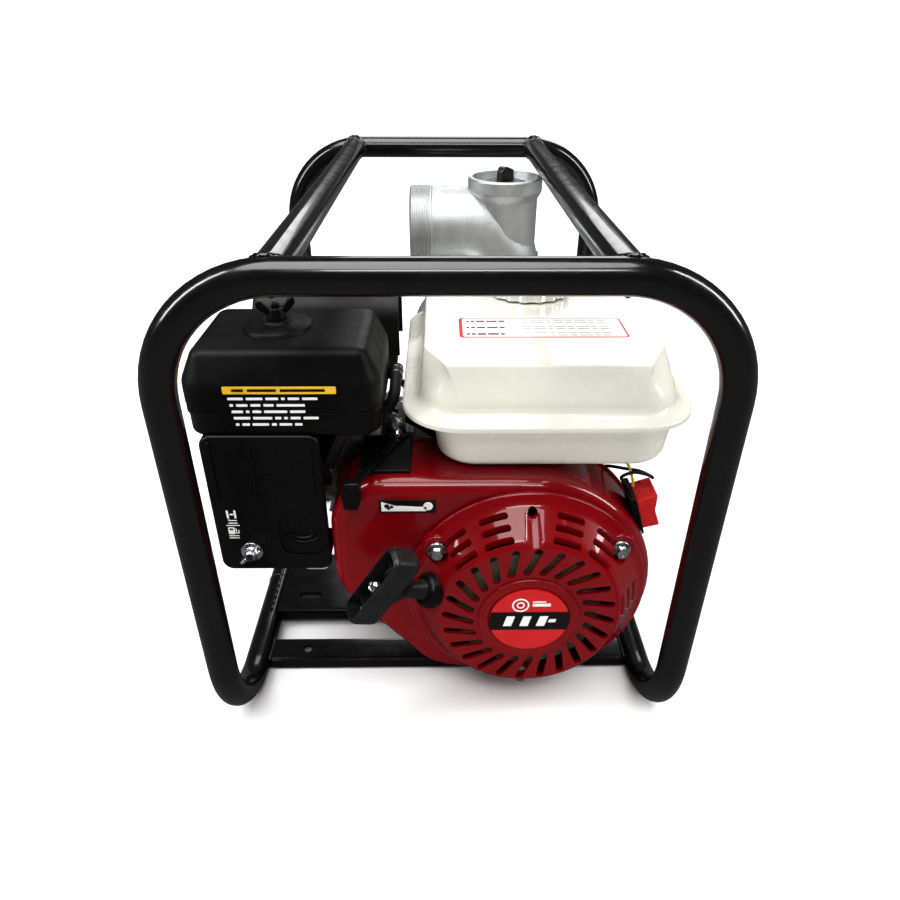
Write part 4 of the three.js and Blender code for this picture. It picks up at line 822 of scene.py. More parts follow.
# ---------------------------------------------------------------- engine switch
SWITCH = ENGINE @ Matrix.Translation((97, -184, 69)) @ Matrix.Rotation(math.radians(-18), 4, "Y")
drum = rod("y", 113.3, -60, 60, 120, 0).at(-97, 0, -69).spun("Y", 18)
switch = cut(prism("y", roundrect(-6, 0.6, -20, 20, 2.2), -17, 17, 1.4), drum,
             slab(-4.5, 20, -15, 15, -16.6, 16.6))
piece("switch_body", switch, "black_plastic", replaces="engine_switch", matrix=SWITCH)
paddle = rounded([(-1, -1), (-0.6, -15), (15, -15.8), (14, 0), (19, 15.8), (-0.6, 15), (-1, 1)], 1.8)
paddle = prism("y", paddle, -14.4, 14.4, 0.9)
piece("switch_paddle", paddle, "switch_red", body="rocker", replaces="switch_rocker",
      matrix=SWITCH @ Matrix.Translation((-0.1, 0, 0)))
loop = sweep(flowing([(88, -184, 88), (84, -184, 93), (81, -184, 99), (90.5, -184, 103.5),
                      (102, -184, 101.5), (108, -183, 97.5), (107, -176, 95.5), (101, -167, 94),
                      (90, -158, 91), (77, -146, 86), (71, -138, 76), (68, -137, 66)], 10), 1.5, 16)
piece("switch_lead", loop, "rubber", replaces="switch_wire")
earth = sweep(flowing([(92, -184, 89.5), (91.5, -183, 94), (89, -182, 102), (86, -181, 109), (82, -170, 111),
                       (76, -152, 104), (70, -141, 96)], 10), 1.2, 12)
piece("earth_lead", earth, "wire_yellow")

# ---------------------------------------------------------------- throttle control
LEVER_X, LEVER_Y, SHROUD_TOP = -112, -150, 113.5
plate = join(block(-126, -99, -166, -136, SHROUD_TOP + 1, SHROUD_TOP + 3.5, 0.6),
             block(-142, -99, -200, -142, SHROUD_TOP + 1, SHROUD_TOP + 3.5, 0.6),
             block(-124, -121.5, -160, -138, SHROUD_TOP + 1, 148, 0.6),
             block(-126, -99, -139, -136, 100, SHROUD_TOP + 3.5, 0.6),
             rod("z", 3, SHROUD_TOP + 1, SHROUD_TOP + 12).at(LEVER_X, LEVER_Y, 0))
plate = cut(plate, rod("x", 3, -130, -115, 24, 0).at(0, -149, 138),
            rod("x", 1.6, -130, -115, 24, 0).at(0, -154, 127))
piece("control_plate", plate, "shield_paint", replaces="control_bracket", slot="zinc")
low, high = SHROUD_TOP + 3.8, SHROUD_TOP + 7
lever = join(rod("z", 7, low, high, 40, 0.6).at(LEVER_X, LEVER_Y, 0),
             prism("z", [(-116, -155), (-108, -155), (-139, -223), (-147, -223)][::-1], low, high, 0.5),
             prism("y", rounded([(-152, 95), (-141, 95), (-137, 108), (-139, high), (-150, high),
                                 (-154, 108)], 2.5), -226, -216.5, 1.6))
lever = cut(lever, rod("z", 3.3, low - 5, high + 5, 24, 0).at(LEVER_X, LEVER_Y, 0))
piece("throttle_arm", lever, "black_plastic", body="throttle", replaces="throttle_lever")
piece("throttle_nut", nut(8, 4).at(LEVER_X, LEVER_Y, high + 0.4), "zinc")


# ---------------------------------------------------------------- fuel tank
TANK_LEFT, TANK_RIGHT, TANK_FRONT, TANK_BACK, TANK_TOP = -106, 135, -211, 62, 203
CORNER_STEPS = 18


def tank_line(back, left=TANK_LEFT):
    """The rim in plan: wide corners at the front, tighter ones at the back."""
    near, far = 50, 40
    return (arc(TANK_RIGHT - near, TANK_FRONT + near, near, -90, 0, CORNER_STEPS)
            + arc(TANK_RIGHT - far, back - far, far, 0, 90, CORNER_STEPS)
            + arc(left + far, back - far, far, 90, 180, CORNER_STEPS)
            + arc(left + near, TANK_FRONT + near, near, 180, 270, CORNER_STEPS))


def top_line():
    """The flat top in plan: a rectangle whose corners are cut off, with as many points as the rim."""
    left, right, front, back = -88, 113, -186, 46
    cuts = [((right - 22, front), (right, front + 42)), ((right, back - 22), (right - 14, back)),
            ((left + 14, back), (left, back - 22)), ((left, front + 40), (left + 19, front))]
    return [tuple(p + (q - p) * k / CORNER_STEPS for p, q in zip(start, end)) for start, end in cuts
            for k in range(CORNER_STEPS + 1)]


def crown_rings(shell, foot_z):
    """Outlines from the wall's foot up to the top, drawn in by the shell."""
    wall, top = grown(tank_line(TANK_BACK), -14.5 - shell), grown(top_line(), -shell)
    rings = [(wall, foot_z)]
    reach = TANK_TOP - 1.6 - shell - 172
    for t in np.linspace(0, 1, 9)[1:]:
        share = t ** 1.25
        rings.append((wall * (1 - share) + top * share, 172 + reach * t))
    return rings + [(grown(top, -0.6), TANK_TOP - 0.55 - shell), (grown(top, -1.8), TANK_TOP - 0.1 - shell),
                    (grown(top, -3.4), TANK_TOP - shell)]


sump_plan = tank_line(34, TANK_LEFT + 12)
sump_line = rounded([(33, 114.5), (23, 114.5), (17, 119.5), (12, 158.5)], 5, False, 6)
sump = loft("z", sump_plan, sump_line)
lip_line = rounded([(14, 157.3), (0.6, 157.3), (0, 158), (0, 161.4), (1.4, 162.8), (8.5, 164.4),
                    (12.6, 167.4), (14.5, 171.7)], 2.2, False, 5)
rim_line = anticlockwise(tank_line(TANK_BACK))
tank = stacked([(grown(rim_line, -inset), z) for inset, z in lip_line] + crown_rings(0, 172))
FILLER, SPOUT = (13, -4), (-55, -110)
neck = lathe("z", [(0, 195), (33, 195), (31, 202.5), (28, 204), (28, 208.5), (0, 208.5)], 72,
             1.6).at(*FILLER, 0)
mouth = rod("z", 23, 180, 213, 56, 0).at(*FILLER, 0)
spout = lathe("z", [(0, 106.5), (5, 106.5), (5, 110), (6.5, 112), (6.5, 118), (0, 118)], 32,
              0.6).at(*SPOUT, 0)
inner = stacked([(grown(rim_line, -16.9), 157)] + crown_rings(2.5, 170))
inner_sump = loft("z", sump_plan, [(28, 117.5), (21, 121.5), (15.2, 158), (15.2, 166)])
tank = cut(join(sump, tank, neck, spout), inner, inner_sump, mouth,
           rod("z", 3, 100, 140, 24, 0).at(*SPOUT, 0))
piece("tank_shell", tank, "tank_white", replaces="fuel_tank", angle=30)

SCALLOPS, CAP_RADIUS = 18, 40.8
edge = [((CAP_RADIUS + 1.1 * math.cos(SCALLOPS * a)) * math.cos(a),
         (CAP_RADIUS + 1.1 * math.cos(SCALLOPS * a)) * math.sin(a))
        for a in (TAU * k / 216 for k in range(216))]
skirt = loft("z", edge, [(0.8, 204.4), (0, 205.2), (0, 215), (1.5, 217), (4, 218)])
dome = lathe("z", [(0, 215), (38, 215), (38, 217.6), (32, 221), (15, 222.6), (12, 221.8), (0, 221.8)], 96,
             2.5, 5)
cap = cut(join(skirt, dome), lathe("z", [(0, 198), (34, 198), (34, 213), (0, 213)], 72, 1))
cap = join(cap, rod("z", 21, 206.5, 215, 48, 0.8))
vent = rod("z", 1.2, 220, 224, 16, 0).at(5, 2, 0)
piece("cap_shell", cut(cap, vent), "chrome", body="filler_cap", replaces="fuel_cap",
      matrix=ENGINE @ Matrix.Translation((*FILLER, 0)), angle=40)

# label on the tank top: a red rim, a white field and dashes in place of words
plate_z = TANK_TOP + 0.12
x0, x1, y0, y1 = -58, 88, -127, -80
card = prism("z", roundrect(x0, x1, y0, y1, 4, 6), TANK_TOP - 0.3, plate_z, 0.05)
border = roundrect(x0 + 0.4, x1 - 0.4, y0 + 0.4, y1 - 0.4, 3.6, 6)
field = roundrect(x0 + 3.4, x1 - 1.8, y0 + 2.2, y1 - 1.4, 2.6, 6)
rim = cut(prism("z", border, plate_z - 0.1, plate_z + 0.12, 0),
          prism("z", field, plate_z - 2, plate_z + 2, 0))
piece("tank_card", card, "label_white")
heads, words = [], []
for row in range(3):
    y = y1 - 8.5 - row * 15
    x = x0 + 7.0
    for reach in (4, 5, 9, 11, 7 - row):
        heads.append(slab(x, x + reach - 1.6, y - 1.7, y + 1.7, plate_z - 0.1, plate_z + 0.1))
        x += reach
    for line in (y - 2.6, y + 2.6):
        x = x0 + 56.0
        for reach in (9, 14, 6, 11, 8, 13, 7, 10):
            words.append(slab(x, x + reach - 2.6, line - 0.45, line + 0.45, plate_z - 0.1, plate_z + 0.08))
            x += reach
piece("tank_card_rim", rim, "label_red")
piece("tank_card_heads", heap(*heads), "label_ink")
piece("tank_card_dashes", heap(*words), "label_ink")

legs = [block(x, x + 12, -112, -70, 58, 114.2, 1.5) for x in (-30, 40)]
bracket = join(*legs, block(-30, 52, -112, -70, 106.5, 114.2, 1.5))
CASE = [(-92, ENGINE_BASE), (92, ENGINE_BASE), (92, -97), (78, -93), (77, 20), (50, 62), (-20, 78),
        (-60, 66), (-78, 10), (-78, -93), (-92, -97)]
fins_space = prism("z", roundrect(-51, 51, -145, -40, 18), 60, 190, 0).spun("Y", LEAN)
bracket = cut(bracket, prism("y", CASE, -200, 0, 0), fins_space)
piece("tank_feet", bracket, "shield_paint", replaces="tank_bracket")

HOSE = [(-55, -110, 105.5), (-55, -110, 102.5), (-62, -110, 98), (-77, -111, 99), (-94, -112, 111),
        (-125, -118, 130), (-165, -130, 142), (-195, -146, 130), (-175, -171, 100), (-173, -171, 86)]
piece("hose", sweep(flowing(HOSE, 12), 4, 20), "rubber", replaces="fuel_hose")
clips = [sweep([(-55 + 4.6 * math.cos(TAU * k / 30), -110 + 4.6 * math.sin(TAU * k / 30), 103.6)
                for k in range(30)], 0.8, 8, True)]
piece("hose_clip", heap(*clips), "zinc")

# ---------------------------------------------------------------- air cleaner
CLEANER = roundrect(-276, -120, -203, -84, 20, 12)
STUD = (-206, -142)
cover_line = rounded([(0.4, 172.3), (0.4, 175.5), (0, 176), (0, 194), (11, 217.6), (19, 220)], 4, False, 6)
cover = loft("z", CLEANER, cover_line)
boss = lathe("z", [(0, 214), (30, 214), (29, 219.4), (27.2, 222.6), (22, 224.3), (13.6, 225.2),
                   (12.4, 226.5), (0, 226.5)], 72, 1.4, 5).at(*STUD, 0)
inside = loft("z", CLEANER, [(9, 150), (9, 191), (19, 214)])
cover = cut(join(cut(cover, inside), boss), rod("z", 4, 190, 240, 32, 0).at(*STUD, 0))
piece("cleaner_lid", cover, "black_satin", replaces="air_cleaner_cover", angle=38)
tray = loft("z", CLEANER, rounded([(3, 150.5), (1.6, 152), (1.6, 167.5), (0.2, 168.3), (0.2, 172)], 0.8,
                                  False, 4))
tray = cut(tray, loft("z", CLEANER, [(6.5, 157), (6.5, 190)]))
duct = prism("z", roundrect(-226, -186, -199, -187, 4, 5), 52, 156, 2)
tray = join(tray, duct, rod("z", 3, 155, 239.5, 32, 0.6).at(*STUD, 0))
tray = cut(tray, slab(-221, -191, -196, -191, 57, 163), rod("y", 13, -196, -171, 48, 0).at(-206, 0, 72))
piece("cleaner_tray", tray, "black_plastic", replaces="air_cleaner_base", angle=36)
keep("air_filter", "foam")

hub = lathe("z", [(0, 226.8), (8.2, 226.8), (7.6, 229.5), (6.2, 235.8), (0, 235.8)], 40, 0.8)
wing = rounded([(2, 228.5), (7, 229.1), (16, 237.5), (15, 242.7), (11, 242.1), (6.5, 236.5), (2, 234.5)],
               2.4)
wing = prism("y", wing, -1.7, 1.7, 0.9)
nut_body = cut(join(hub, wing, wing.spun("Z", 180)), rod("z", 3.3, 222, 256, 32, 0))
piece("cleaner_wing_nut", nut_body, "black_plastic", body="cleaner_nut", replaces="wing_nut",
      matrix=ENGINE @ Matrix.Translation((*STUD, 0)) @ Matrix.Rotation(math.radians(20), 4, "Z"), angle=36)

# maintenance label: a yellow bar over rows of pale dashes
face = -203
bar = prism("y", roundrect(-240, -153.5, 188.4, 194.6, 1, 4), face - 0.25, face + 0.3, 0.05)
piece("cleaner_bar", bar, "label_yellow")
bar_words = [prism("y", roundrect(x, x + w, 190.4, 192.6, 0.3, 2), face - 0.42, face - 0.2, 0)
             for x, w in ((-233, 9), (-221, 22), (-196, 34))]
piece("cleaner_bar_dashes", heap(*bar_words), "label_black")
rows = [(14, 15, 12, 5, 11, 14), (5, 11, 10, 10, 24), (11, 5, 9, 20, 14), (15, 17, 7, 5, 10, 14),
        (5, 8, 15, 6, 12, 8)]
dashes = []
for row, widths in enumerate(rows):
    x, z = -237.0 + 0.8 * row, 184.4 - row * 5.6
    for width in widths:
        dashes.append(prism("y", roundrect(x, x + width - 2.2, z - 1.05, z + 1.05, 0.4, 2), face - 0.22,
                            face + 0.2, 0))
        x += width
piece("cleaner_dashes", heap(*dashes), "label_white")

# ---------------------------------------------------------------- control panel
PANEL = PANEL_LEFT, PANEL_RIGHT, PANEL_FOOT, PANEL_HEAD = -266, -170, 17, 152.7
panel = prism("y", roundrect(*PANEL, 10, 8), -206, -150, (2.5, 0.5), 4)
panel = cut(panel, slab(PANEL_LEFT + 3, PANEL_RIGHT + 20, -203, -140, PANEL_FOOT + 3, PANEL_HEAD + 10))
recess = prism("y", roundrect(-212, -173, 34, 80, 12, 8), -208, -204.6, 0)
panel = cut(panel, recess)
panel = join(panel, slab(PANEL_LEFT + 5, PANEL_RIGHT - 1, -204, -196, 146, 150.2))
ribs = []
for radius, start, end in ((17, 200, 340), (11.5, 200, 340)):
    line = [(-192.5 + radius * math.cos(math.radians(a)), -204.8,
             60 + radius * 0.75 * math.sin(math.radians(a))) for a in np.linspace(start, end, 30)]
    ribs.append(sweep(line, 1.3, 10))
for x in (-258, -226, -178):
    ribs.append(prism("z", roundrect(x - 1, x + 1, -207.3, -204, 0.8, 4), 92, 148, 0.6))
piece("panel_shell", join(panel, *ribs), "black_plastic", replaces="control_panel", angle=36)

# plain bars and one open box stand for the choke and fuel marks on the panel
PRINTED = (-206.3, -205.8)


def ink_bar(x0, x1, z0, z1, lean=0.0):
    return prism("y", [(x0, z0), (x1, z0), (x1 + lean, z1), (x0 + lean, z1)], *PRINTED, 0)


ink = [ink_bar(*bar) for bar in (
    (-251.5, -249.6, 70, 81), (-244.5, -242.6, 70, 81), (-249, -245.4, 74.4, 76.4, 1.2),
    (-251, -249, 66.8, 68.2), (-251, -242.8, 62.6, 63.8), (-251, -242.8, 66.4, 67.4),
    (-253.5, -241, 59.4, 60.4), (-245.6, -244.6, 49, 55.6), (-245.6, -242.6, 48.6, 49.6),
    (-243.2, -242.2, 49, 53.6), (-252.6, -243, 44.6, 45.6), (-252.6, -243, 41.4, 42.4))]
ink.append(cut(prism("y", roundrect(-252.5, -246.5, 47.5, 57, 0.6, 3), *PRINTED, 0),
               prism("y", roundrect(-251.3, -247.7, 52.8, 55.8, 0.3, 3), -208, -204, 0)))
shrink = Matrix.Diagonal((0.9, 1, 0.74, 1))
smaller = Matrix.Translation((-250.5, 0, 52)) @ shrink @ Matrix.Translation((247.5, 0, -41))
piece("panel_marks", heap(*ink).placed(smaller), "label_white")

knob = lathe("z", [(0, 0), (9.5, 0), (9.5, 1.2), (5.6, 1.6), (5.2, 7), (4, 9), (0, 9)], 40, 0.5)
tabs = [prism("y", rounded([(2, 3), (10.5, 2.6), (12, 8), (9, 11.5), (3, 8.6)], 1.6), -1.3, 1.3,
              0.6).spun("Z", a) for a in (0, 180)]
knob = join(knob, *tabs).placed(facing((0, -1, 0), (-238, -206.2, 38)) @ Matrix.Rotation(0.6, 4, "Z"))
piece("panel_screw", knob, "zinc")

# breather hose and bracket in the gap between the air cleaner and the tank
BREATHER = [(-146, -78, 128), (-130, -84, 146), (-114, -96, 160), (-112.5, -114, 168), (-112.5, -134, 168),
            (-114, -148, 158), (-121, -152, 146)]
piece("breather_hose", sweep(flowing(BREATHER, 10), 5, 24), "rubber")
breather_clips = [sweep([(-112.5 + 5.6 * math.cos(TAU * k / 30), y, 168 + 5.6 * math.sin(TAU * k / 30))
                         for k in range(30)], 0.9, 8, True) for y in (-118, -128)]
piece("breather_clips", heap(*breather_clips), "zinc")
tab = prism("y", roundrect(-124, -105, 116, 150, 3, 5), -141, -138.6, 0.5)
tab = cut(tab, *[rod("y", 3.2, -150, -130, 24, 0).at(-114, 0, z) for z in (126, 141)])
piece("bracket_tab", tab, "zinc")


# ---------------------------------------------------------------- engine block
DIPSTICK, DRAIN = (0, -62, -78), (0, -110, -88)
CASE_LINE = rounded(CASE, 3, True, 4)



block_body = prism("y", CASE_LINE, -140, -40, 2)
barrel = rod("z", 46, 40, 130, 64, 0).at(0, -92, 0).spun("Y", LEAN)
fins = [prism("z", roundrect(-50, 50, -139, -45, 9, 6), z, z + 3, 0.7).spun("Y", LEAN)
        for z in (78, 88, 98, 108, 120)]
nose = rod("y", 36, -140, -122.6, 48, 1)
bore = rod("z", 34, 30, 135, 64, 0).at(0, -92, 0).spun("Y", LEAN)
ROOM_LINE = roundrect(-69, 69, -98, 20, 12)
sump = prism("y", ROOM_LINE, -132, -35, 0)
room = cut(join(rod("y", 56, -132, -35, 64, 0), sump), nose)
bosses = [lathe("x", [(0, 60), (17, 60), (15, 79.5), (0, 79.5)], 48, 1.5).at(*DIPSTICK),
          lathe("x", [(0, -79.5), (12, -79.5), (14, -60), (0, -60)], 48, 1.5).at(*DRAIN)]
pads = [block(x - 11, x + 11, y - 11, y + 11, ENGINE_BASE, -95.5, 2) for x, y in FEET]
crankcase = cut(join(block_body, barrel, *fins, *bosses, *pads), room, bore,
                rod("y", 12.9, -150, -120, 40, 0), rod("x", 9, 58, 100, 40, 0).at(*DIPSTICK),
                rod("x", 7, -100, -58, 32, 0).at(*DRAIN))
piece("block", crankcase, "cast_grey", replaces="crankcase", angle=32)
side_cover = join(prism("y", CASE_LINE, -39.6, -6, (0.6, 4)),
                  lathe("y", [(0, -12), (64, -12), (61, 0), (0, 0)], 72, 1.5))
ribs = [prism("x", rounded([(-8, -2.5), (-1.5, -2.5), (-1.5, 2.5), (-8, 2.5)], 0.8), 60, 76).spun("Y", -a)
        for a in (200, 240, 300, 340)]
space = cut(prism("y", ROOM_LINE, -45, -12, 0), rod("y", 36, -31, 0, 48, 0))
side_cover = cut(join(side_cover, *ribs), space, rod("y", 12.9, -45, 5, 40, 0))
piece("block_cover", side_cover, "cast_grey", replaces="crankcase_cover", angle=32)
spots = ((-68, -84), (68, -84), (-70, -40), (69, -40), (62, 30), (-66, 40), (-30, 68), (30, 62))
cover_bolts = [hex_bolt(10, 6, 7.5).placed(facing((0, 1, 0), (x, -6, z))) for x, z in spots]
piece("block_bolts", heap(*cover_bolts), "zinc")
keep("camshaft", "machined_steel")
keep("connecting_rod", "machined_steel")
keep("piston", "cast_aluminium")
keep("crankshaft", "machined_steel")

PLUG = (18, -56, 0)
core = prism("z", roundrect(-44, 44, -134, -50, 12), 130.3, 200, 0.6)
head_fins = [prism("z", roundrect(-52, 52, -140, -44, 10, 6), z, z + 3.4, 0.8)
             for z in (133, 146.5, 160, 173.5, 187)]
chamber = rod("z", 30, 125, 142, 48, 0).at(0, -92, 0)
intake = prism("z", roundrect(-45, -2, -140, -128, 3, 4), 188, 239, 1.5)
head = cut(join(core, *head_fins, intake), chamber, rod("y", 13, -60, -30, 32, 0).at(10, 0, 165),
           rod("z", 7.3, 178, 205, 32, 0).at(*PLUG), rod("y", 11, -145, -120, 32, 0).at(-22, 0, 217))
piece("head", head, "cast_aluminium", replaces="cylinder_head", slot="head_casting", matrix=CYLINDER)
valve_cover = join(prism("z", roundrect(-38, 40, -131, -72, 14), 200.3, 234, (0.5, 5), 5),
                   prism("z", roundrect(-43, 45, -136, -67, 16), 200.3, 205, 1))
valve_cover = cut(valve_cover, prism("z", roundrect(-35, 37, -128, -75, 12), 195, 230, 0),
                  slab(-60, -1, -145, -127.5, 185, 242))
piece("valve_cover", valve_cover, "shield_paint", replaces="rocker_cover", matrix=CYLINDER)
head_bolts = [hex_bolt(10, 6, 7.5).at(x, y, 205.1) for x, y in ((40, -130), (40, -73), (-38, -72))]
piece("valve_cover_bolts", heap(*head_bolts), "zinc", matrix=CYLINDER)

plug = lathe("z", [(0, 180), (6.5, 180), (6.5, 200), (11, 200.5), (11, 203), (9.5, 204), (7.4, 211),
                   (6.4, 230), (3.5, 232), (3.5, 240), (0, 240)], 40, 0.5)
collar = prism("z", hexagon(20.6), 202.6, 209, 0.4)
piece("plug", join(plug, collar).at(*PLUG), "zinc", replaces="spark_plug", matrix=CYLINDER)
boot = lathe("z", [(8, 212), (10.5, 212), (10.5, 216), (9.8, 217), (9.8, 222), (11, 240), (10.5, 248),
                   (8, 252), (0, 252), (0, 241), (5, 241), (8, 233), (8, 212)], 48, 1)
piece("plug_boot", boot.at(*PLUG), "rubber", replaces="spark_plug_cap", matrix=CYLINDER)
tilt = Matrix.Rotation(math.radians(LEAN), 4, "Y")
start = tilt @ Vector((18, -56, 253))
turn = start + tilt @ Vector((0, 0, 8))
LEAD = [tuple(start), tuple(turn), (-240, -66, 142), (-205, -62, 147), (-130, -60, 143), (-97, -62, 112),
        (-66, -100, 106), (-45, -121, 102), (0, -128, 100), (34, -141, 94), (50, -157, 87), (53, -165, 84.8)]
piece("plug_lead", sweep(flowing(LEAD, 10), 3.2, 16), "rubber", replaces="ignition_lead")
coil = join(block(93, 104, -190, -174, -16, 16, 1.5), block(94, 106, -197, -167, -9, 9, 2.5))
piece("coil", coil.spun("Y", -58), "black_plastic", replaces="ignition_coil")

stick = lathe("x", [(0, 61), (4, 61), (4, 66), (8.5, 68), (8.5, 78.5), (14, 78.5), (14, 90), (9, 92),
                    (0, 92)], 56, 1)
knurls = [rod("x", 1.1, 79, 89.6, 12, 0.3).at(0, 14, 0).spun("X", k * 15) for k in range(24)]
piece("dipstick_cap", join(stick, *knurls).at(*DIPSTICK), "grip_plastic", body="dipstick",
      replaces="oil_dipstick")
drain = hex_bolt(15, 6, 10.5).placed(facing((-1, 0, 0), (-92, 0, 0)))
drain = join(drain, rod("x", 6.6, -93, -70, 32))
piece("sump_bolt", drain.at(*DRAIN), "zinc", replaces="oil_drain_bolt")

# ---------------------------------------------------------------- carburettor
CARB = ENGINE @ Matrix.Translation((-206, -171, 72))
carb = join(rod("y", 19, -15, 15, 56, 1), block(-19, 19, -12, 14, -22, 4, 2.5),
            block(-24, 24, 11, 15, -14, 14, 1.2), block(-22, 22, -15, -11, -15, 15, 1.2),
            rod("x", 4, 15, 29, 24).at(0, 0, 10))
carb = cut(carb, lathe("y", [(0, -20), (14, -20), (10, -2), (11, 20), (0, 20)], 48, 0.5))
spacer = cut(block(-24, 24, 14.9, 30.7, -17, 17, 1.2), rod("y", 11, 0, 40, 32, 0))
piece("carb_body", join(carb, spacer), "cast_aluminium", replaces="carburetor", slot="head_casting",
      matrix=CARB)
bowl = lathe("z", [(0, -49), (13, -49), (19, -43), (20, -26), (21, -25), (21, -22.3), (0, -22.3)], 56, 1.8)
piece("carb_bowl", join(bowl, prism("z", hexagon(10), -52, -48.6, 0.4)), "zinc", replaces="float_bowl",
      matrix=CARB)


def swing_lever(length):
    hub = rod("x", 7, 0, 4, 40, 0.8)
    arm = prism("x", rounded([(-4, -length), (4, -length), (5, 0), (-5, 0)], 1.5), 0, 4, 0.8)
    knob = prism("x", roundrect(-4, 4, -length - 10, -length + 4, 2.4, 5), -4, 4, 1.2)
    return join(hub, arm, knob)


piece("choke_arm", swing_lever(16), "grip_plastic", body="choke", replaces="choke_lever",
      matrix=CARB @ Matrix.Translation((-26, -5, 11)))
piece("fuel_arm", swing_lever(8), "grip_plastic", body="fuel_valve", replaces="fuel_valve_lever",
      matrix=CARB @ Matrix.Translation((-26, -5, -26)))

# ---------------------------------------------------------------- exhaust
can = join(prism("x", roundrect(-38, 22, 128, 205, 22, 10), -250, -118, 4, 5),
           rod("y", 12, -43.5, -30, 40).at(-145, 0, 137))
seam = prism("x", grown(anticlockwise(roundrect(-38, 22, 128, 205, 22, 10)), 2.2), -186, -182.5, 1)
piece("exhaust_can", join(can, seam), "muffler_steel", replaces="muffler")
guard = prism("x", roundrect(-41.5, 25.5, 124.5, 209, 25, 10), -255, -114, (5, 0.8), 5)
guard = cut(guard, prism("x", roundrect(-38.5, 22.5, 127.5, 206, 22.5, 10), -252, -100, 0),
            slab(-260, -100, -60, 60, 100, 150))
vents = [prism("z", roundrect(x, x + 9, -20, 8, 4, 5), 190, 240, 0) for x in range(-240, -125, 16)]
holes = [rod("x", 3.4, -262, -246, 20, 0).at(0, -8 + dy, 175 + dz) for dy in (-18, -9, 0, 9, 18)
         for dz in (-16, -8, 0, 8, 16)]
piece("exhaust_guard", cut(guard, *vents, *holes), "shield_paint", replaces="muffler_shield")

# ---------------------------------------------------------------- pump
adapter = lathe("y", [(24, 0.3), (66, 0.3), (66, 8), (80, 16), (98, 20), (98, 27), (24, 27), (24, 0.3)], 96,
                2)
webs = [prism("x", rounded([(6, -3), (20, -3), (20, 3), (6, 3)], 1), 62, 92, 1).spun("Y", -a)
        for a in range(22, 360, 45)]
piece("pump_adapter", join(adapter, *webs), "cast_aluminium", replaces="pump_bracket")
adapter_bolts = [hex_bolt(13, 7, 9).placed(facing((0, -1, 0), polar(90, a, 17.2)))
                 for a in range(0, 360, 45)]
piece("adapter_bolts", heap(*adapter_bolts), "zinc")

PORT_Y, SUCTION_Z = 151, 60
body_line = roundrect(-108, 108, ENGINE_BASE, 150, 62, 16)
shell = prism("y", body_line, 33, 205, (3, 12), 8)
rimline = grown(anticlockwise(body_line), 3.0)
belt = prism("y", rimline, 33, 45, 1.5)
parting = prism("y", grown(anticlockwise(body_line), 0.8), 118, 120, 0.6)
neck = lathe("z", [(0, 138), (50, 138), (45, 152), (44, 163), (0, 163)], 72, 3).at(0, PORT_Y, 0)
flange_line = roundrect(-52, 52, PORT_Y - 52, PORT_Y + 52, 24, 10)
port_flange = prism("z", flange_line, 162, 172, 1.2)
rear_boss = lathe("y", [(0, 190), (56, 190), (52, 209), (0, 209)], 72, 1.5).at(0, 0, SUCTION_Z)
drain_boss = lathe("y", [(0, 190), (18, 190), (15, 209), (0, 209)], 48, 1.2).at(0, 0, -86)
rear_ribs = [prism("z", roundrect(x - 3, x + 3, 196, 207.5, 2.6, 5), -80, 30, 2) for x in (-52, 52)]
feet = [block(x - 16, x + 16, 112, 176, ENGINE_BASE, -84, 4) for x in (-62, 62)]
pump = join(shell, belt, parting, neck, port_flange, rear_boss, drain_boss, *rear_ribs, *feet)
cavity = prism("y", roundrect(-101, 101, ENGINE_BASE + 7, 143, 55, 12), 30, 198, 0)
pump = cut(pump, cavity, rod("z", 33, 130, 180, 64, 0).at(0, PORT_Y, 0),
           rod("y", 33, 185, 215, 64, 0).at(0, 0, SUCTION_Z), rod("y", 9.8, 185, 215, 32, 0).at(0, 0, -86))
front = prism("y", grown(anticlockwise(body_line), -0.5), 27.6, 35, 0.8)
front = cut(front, rod("y", 72, 20, 40, 96, 0))
pump = join(pump, front)
pump = cut(pump, lathe("y", [(0, 20), (98.4, 20), (98.4, 27.3), (0, 27.3)], 96, 0))
piece("pump_body", pump, "cast_aluminium", replaces="pump_casing", angle=32)
corner_spots = [(sx * x, z) for sx in (-1, 1) for x, z in ((99, -30), (99, 70), (84, -84), (84, 126))]
case_bolts = [hex_bolt(12, 7, 8.5).placed(facing((0, -1, 0), (x, 27.8, z))) for x, z in corner_spots]
piece("case_bolts", heap(*case_bolts), "zinc")

scroll = lathe("y", [(24, 41), (90, 41), (94, 46), (94, 88), (90, 93), (30, 93), (30, 84), (76, 84),
                     (76, 50), (24, 50), (24, 41)], 80, 2)
piece("scroll", cut(scroll, slab(30, 70, 52, 82, 40, 110)), "cast_iron", replaces="volute")
disc = lathe("y", [(10.3, 54), (70, 54), (70, 59), (20, 60), (16, 76), (10.3, 76), (10.3, 54)], 72, 0.8)
blade = prism("y", rounded([(12, 0), (40, 12), (68, 12), (68, 17), (38, 18), (12, 8)], 3), 57, 76, 0.6)
piece("rotor", join(disc, *[blade.spun("Y", k * 90) for k in range(4)]), "cast_iron", body="main_shaft",
      replaces="impeller")
seal = lathe("y", [(12.8, 2.5), (23.6, 2.5), (23.6, 26), (20, 28), (20, 38), (12.8, 38), (12.8, 2.5)], 56,
             0.8)
piece("seal", seal, "rubber", replaces="shaft_seal")

